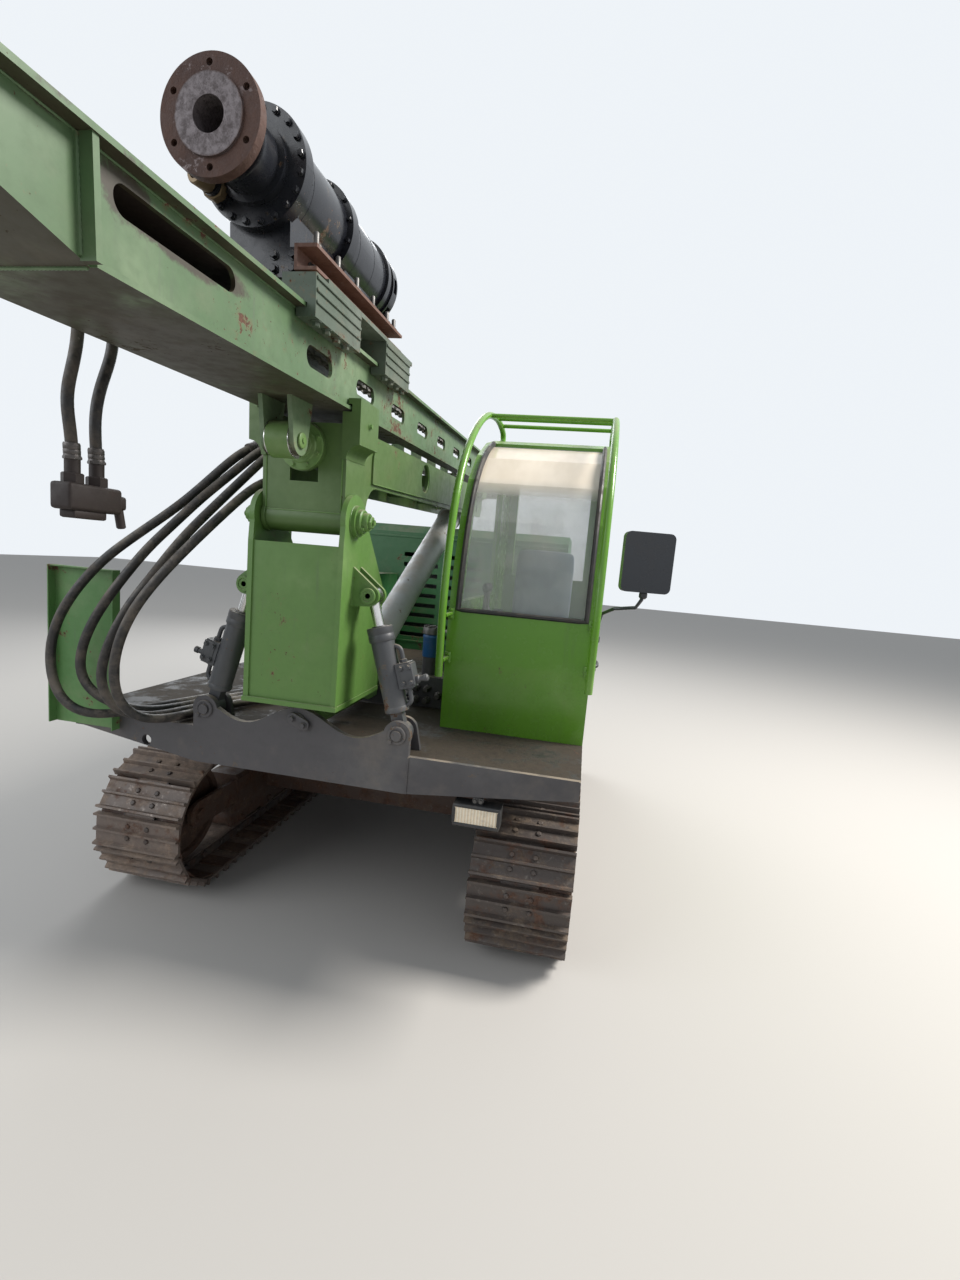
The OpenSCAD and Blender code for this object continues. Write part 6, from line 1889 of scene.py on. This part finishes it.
    def cushions(self) -> None:
        """Adds the seat's stand and its two cushions in place of the plain seat."""
        mid, y = (self.left + self.right) / 2, self.front
        base = Bench.slab("base", (mid - 120, y + 720, 1062), (mid + 120, y + 1060, 1300), 14, 3)
        rail = Bench.slab("rail", (mid - 150, y + 680, 1296), (mid + 150, y + 1090, 1334), 8, 2)
        knob = Bench.turned("knob", [(16, 0), (18, 3), (18, 20), (14, 24)], 18,
                            (mid + 150, y + 860, 1314), (1, 0, 0))
        stand = self.put(Bench.joined("seat_stand", [base, rail, knob]), Finish.PLASTIC, "seat_fabric")
        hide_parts("seat")
        rows = (("seat_cushion", 225, (y + 640, 1334), (y + 1110, 1440), 0, 16),
                ("back_cushion", 180, (y + 1062, 1412), (y + 1158, 1890), -8, 14))
        for name, wide, low, high, tilt, crown in rows:
            piece = self.cushion(name, (mid - wide, *low), (mid + wide, *high), tilt, crown)
            self.put(piece, Finish.CLOTH, "seat_fabric")

    def controls(self) -> None:
        """Adds lever knobs and gaiters, pedals and the console's switches."""
        pieces = []
        knob = [(9, 1628), (17, 1636), (21, 1652), (19, 1668), (10, 1678)]
        boot = [(34, 1499), (34, 1504), (25, 1510), (28, 1516), (19, 1524), (22, 1530), (13, 1540),
                (11, 1552)]
        for y in (self.front + 560, self.front + 660):
            pieces += [Bench.turned(name, rings, 20, (self.left + 65, y, 0))
                       for name, rings in (("knob", knob), ("boot", boot))]
        y = self.front + 90
        pieces += [Bench.slab("pedal", (x - 38, y, 1120), (x + 38, y + 16, 1235), 5, 2)
                   for x in (745, 850)]
        for k in range(5):
            x, y = self.left + 70, self.front + 780 + 58 * k
            pieces.append(Bench.slab("switch", (x - 18, y, 1498), (x + 18, y + 26, 1512), 4, 2))
        self.put(Bench.joined("cab_controls", pieces), Finish.PLASTIC, "black_paint")

    def mirror_glass(self) -> None:
        """Adds the mirror's glass on its rear face with a rubber lip, and the arm's joints."""
        glass = Bench.slab("mirror_glass", (-88, 19.5, -108), (88, 23, 108), 1.2, 1)
        lip = [(x, 20, z) for x, z in ((-94, -112), (94, -112), (94, 112), (-94, 112), (-94, -112))]
        closed = Bench.stepped(lip, 8)
        rubber = Bench.tube("mirror_lip", [*closed, closed[0], closed[1]], 4.5, 8)
        stand = (Matrix.Translation(self.mirror_at)
                 @ Matrix.Rotation(math.radians(self.mirror_turn), 4, "Z"))
        self.put(glass, Finish.MIRROR, "clear_glass", stand=stand)
        self.put(rubber, Finish.GASKET, "black_paint", stand=stand)
        x, y, z = self.mirror_at
        clamp = Bench.turned("clamp", [(13, 0), (15, 2), (15, 26), (12, 28)], 16,
                             (self.right + 10, self.front + 70, 1480))
        joint = Bench.turned("joint", [(10, 0), (17, 8), (17, 24), (9, 34)], 18, (x, y, z - 151))
        self.put(Bench.joined("mirror_joints", [clamp, joint]), Finish.PLASTIC, "black_paint")

    def hoops(self) -> None:
        """Bends the guard hoops, with their stays and cross bars, in place of the plain ones."""
        line = [(self.front + y, self.floor + z) for y, z in self.hoop_line]
        left, right = self.left + 2, self.right - 2
        pieces = [Bench.tube("hoop", Bench.smooth_line([(x, *p) for p in line], 5), 17, 14)
                  for x in (left, right)]
        for x in (left + 12, right - 12):
            for high, (far, near) in zip(self.stay_heights, ((108, 11), (120, 7))):
                z = self.floor + high
                pieces.append(Bench.rod("stay", (x, self.front - far, z), (x, self.front - near, z), 9, 12))
        pieces += [Bench.rod("bar", (left, *p), (right, *p), 11, 14) for p in line[6:9]]
        made = self.put(Bench.joined("guard_hoops", pieces), Finish.CAB, "cab_green")
        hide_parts("cab_roof_guard")

    def hoop_feet(self) -> None:
        """Adds the bolted feet of the guard hoops on the cab's front posts."""
        pieces = []
        for x in (self.left + 14, self.right - 14):
            for high, back in zip(self.stay_heights, (15, 11)):
                y, z = self.front - back, self.floor + high
                pieces += [
                    Bench.slab("foot", (x - 15, y, z - 26), (x + 15, y + 5.5, z + 26), 3, 2),
                    Bench.bolts("bolts", (11, 5, 8), [
                        Bench.aimed((x, y, z + s * 16), (0, -1, 0)) for s in (-1, 1)])]
        self.put(Bench.joined("hoop_feet", pieces), Finish.CAB, "cab_green")

    def housing_trim(self) -> None:
        """Adds latches, hinges and seams to the engine housing, caps to the tanks."""
        pieces = []
        for x in (-700, 670):
            grip = [(x, y, z) for y, z in ((2340, 1575), (2322, 1582), (2322, 1618), (2340, 1625))]
            pieces += [Bench.slab("latch", (x - 26, 2336, 1560), (x + 26, 2350, 1640), 4, 2),
                       Bench.tube("grip", Bench.smooth_line(grip, 3), 5, 8)]
        for x, s in ((-817, -1), (892, 1)):
            low, high = sorted((x, x + s * 6))
            for y in (2480, 2980):
                pieces += [Bench.rod("hinge", (x + s * 8, y, 1800), (x + s * 8, y, 1880), 9, 12),
                           Bench.slab("leaf", (low, y - 30, 1806), (high, y + 30, 1874), 2, 1)]
        rings = [(44, -4), (52, 0), (52, 16), (47, 22), (20, 24), (18, 30), (10, 32)]
        pieces += [Bench.turned("cap", rings, 24, at) for at in ((-740, 1900, 1680), (620, 2000, 1620))]
        self.put(Bench.joined("housing_latches", pieces), Finish.PLASTIC, "black_paint")
        seams = [Bench.slab("seam", (24, 2345, 1060), (52, 2350.5, 1960), 2, 1)]
        seams += [Bench.slab("rib", (-800, 2345, z), (880, 2351, z + 16), 3, 1) for z in (1080, 1935)]
        self.put(Bench.joined("housing_ribs", seams), Finish.HOUSING, "dark_green")


def main() -> None:
    """Builds the dressed machine."""
    logging.basicConfig(level=logging.INFO, format="%(name)s: %(message)s")
    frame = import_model()
    datum = Datum.found()
    mast = MastFrame.found(frame)
    Studio(datum).build()
    for kind, place in ((Hoses, datum), (Undercarriage, datum), (Platform, datum), (Column, datum),
                        (Mast, mast), (Head, mast), (Cab, datum)):
        kind(place, frame).build()
    LOG.info("mast pin at %s", tuple(round(c, 4) for c in mast.pin))


if __name__ == "__main__":
    main()
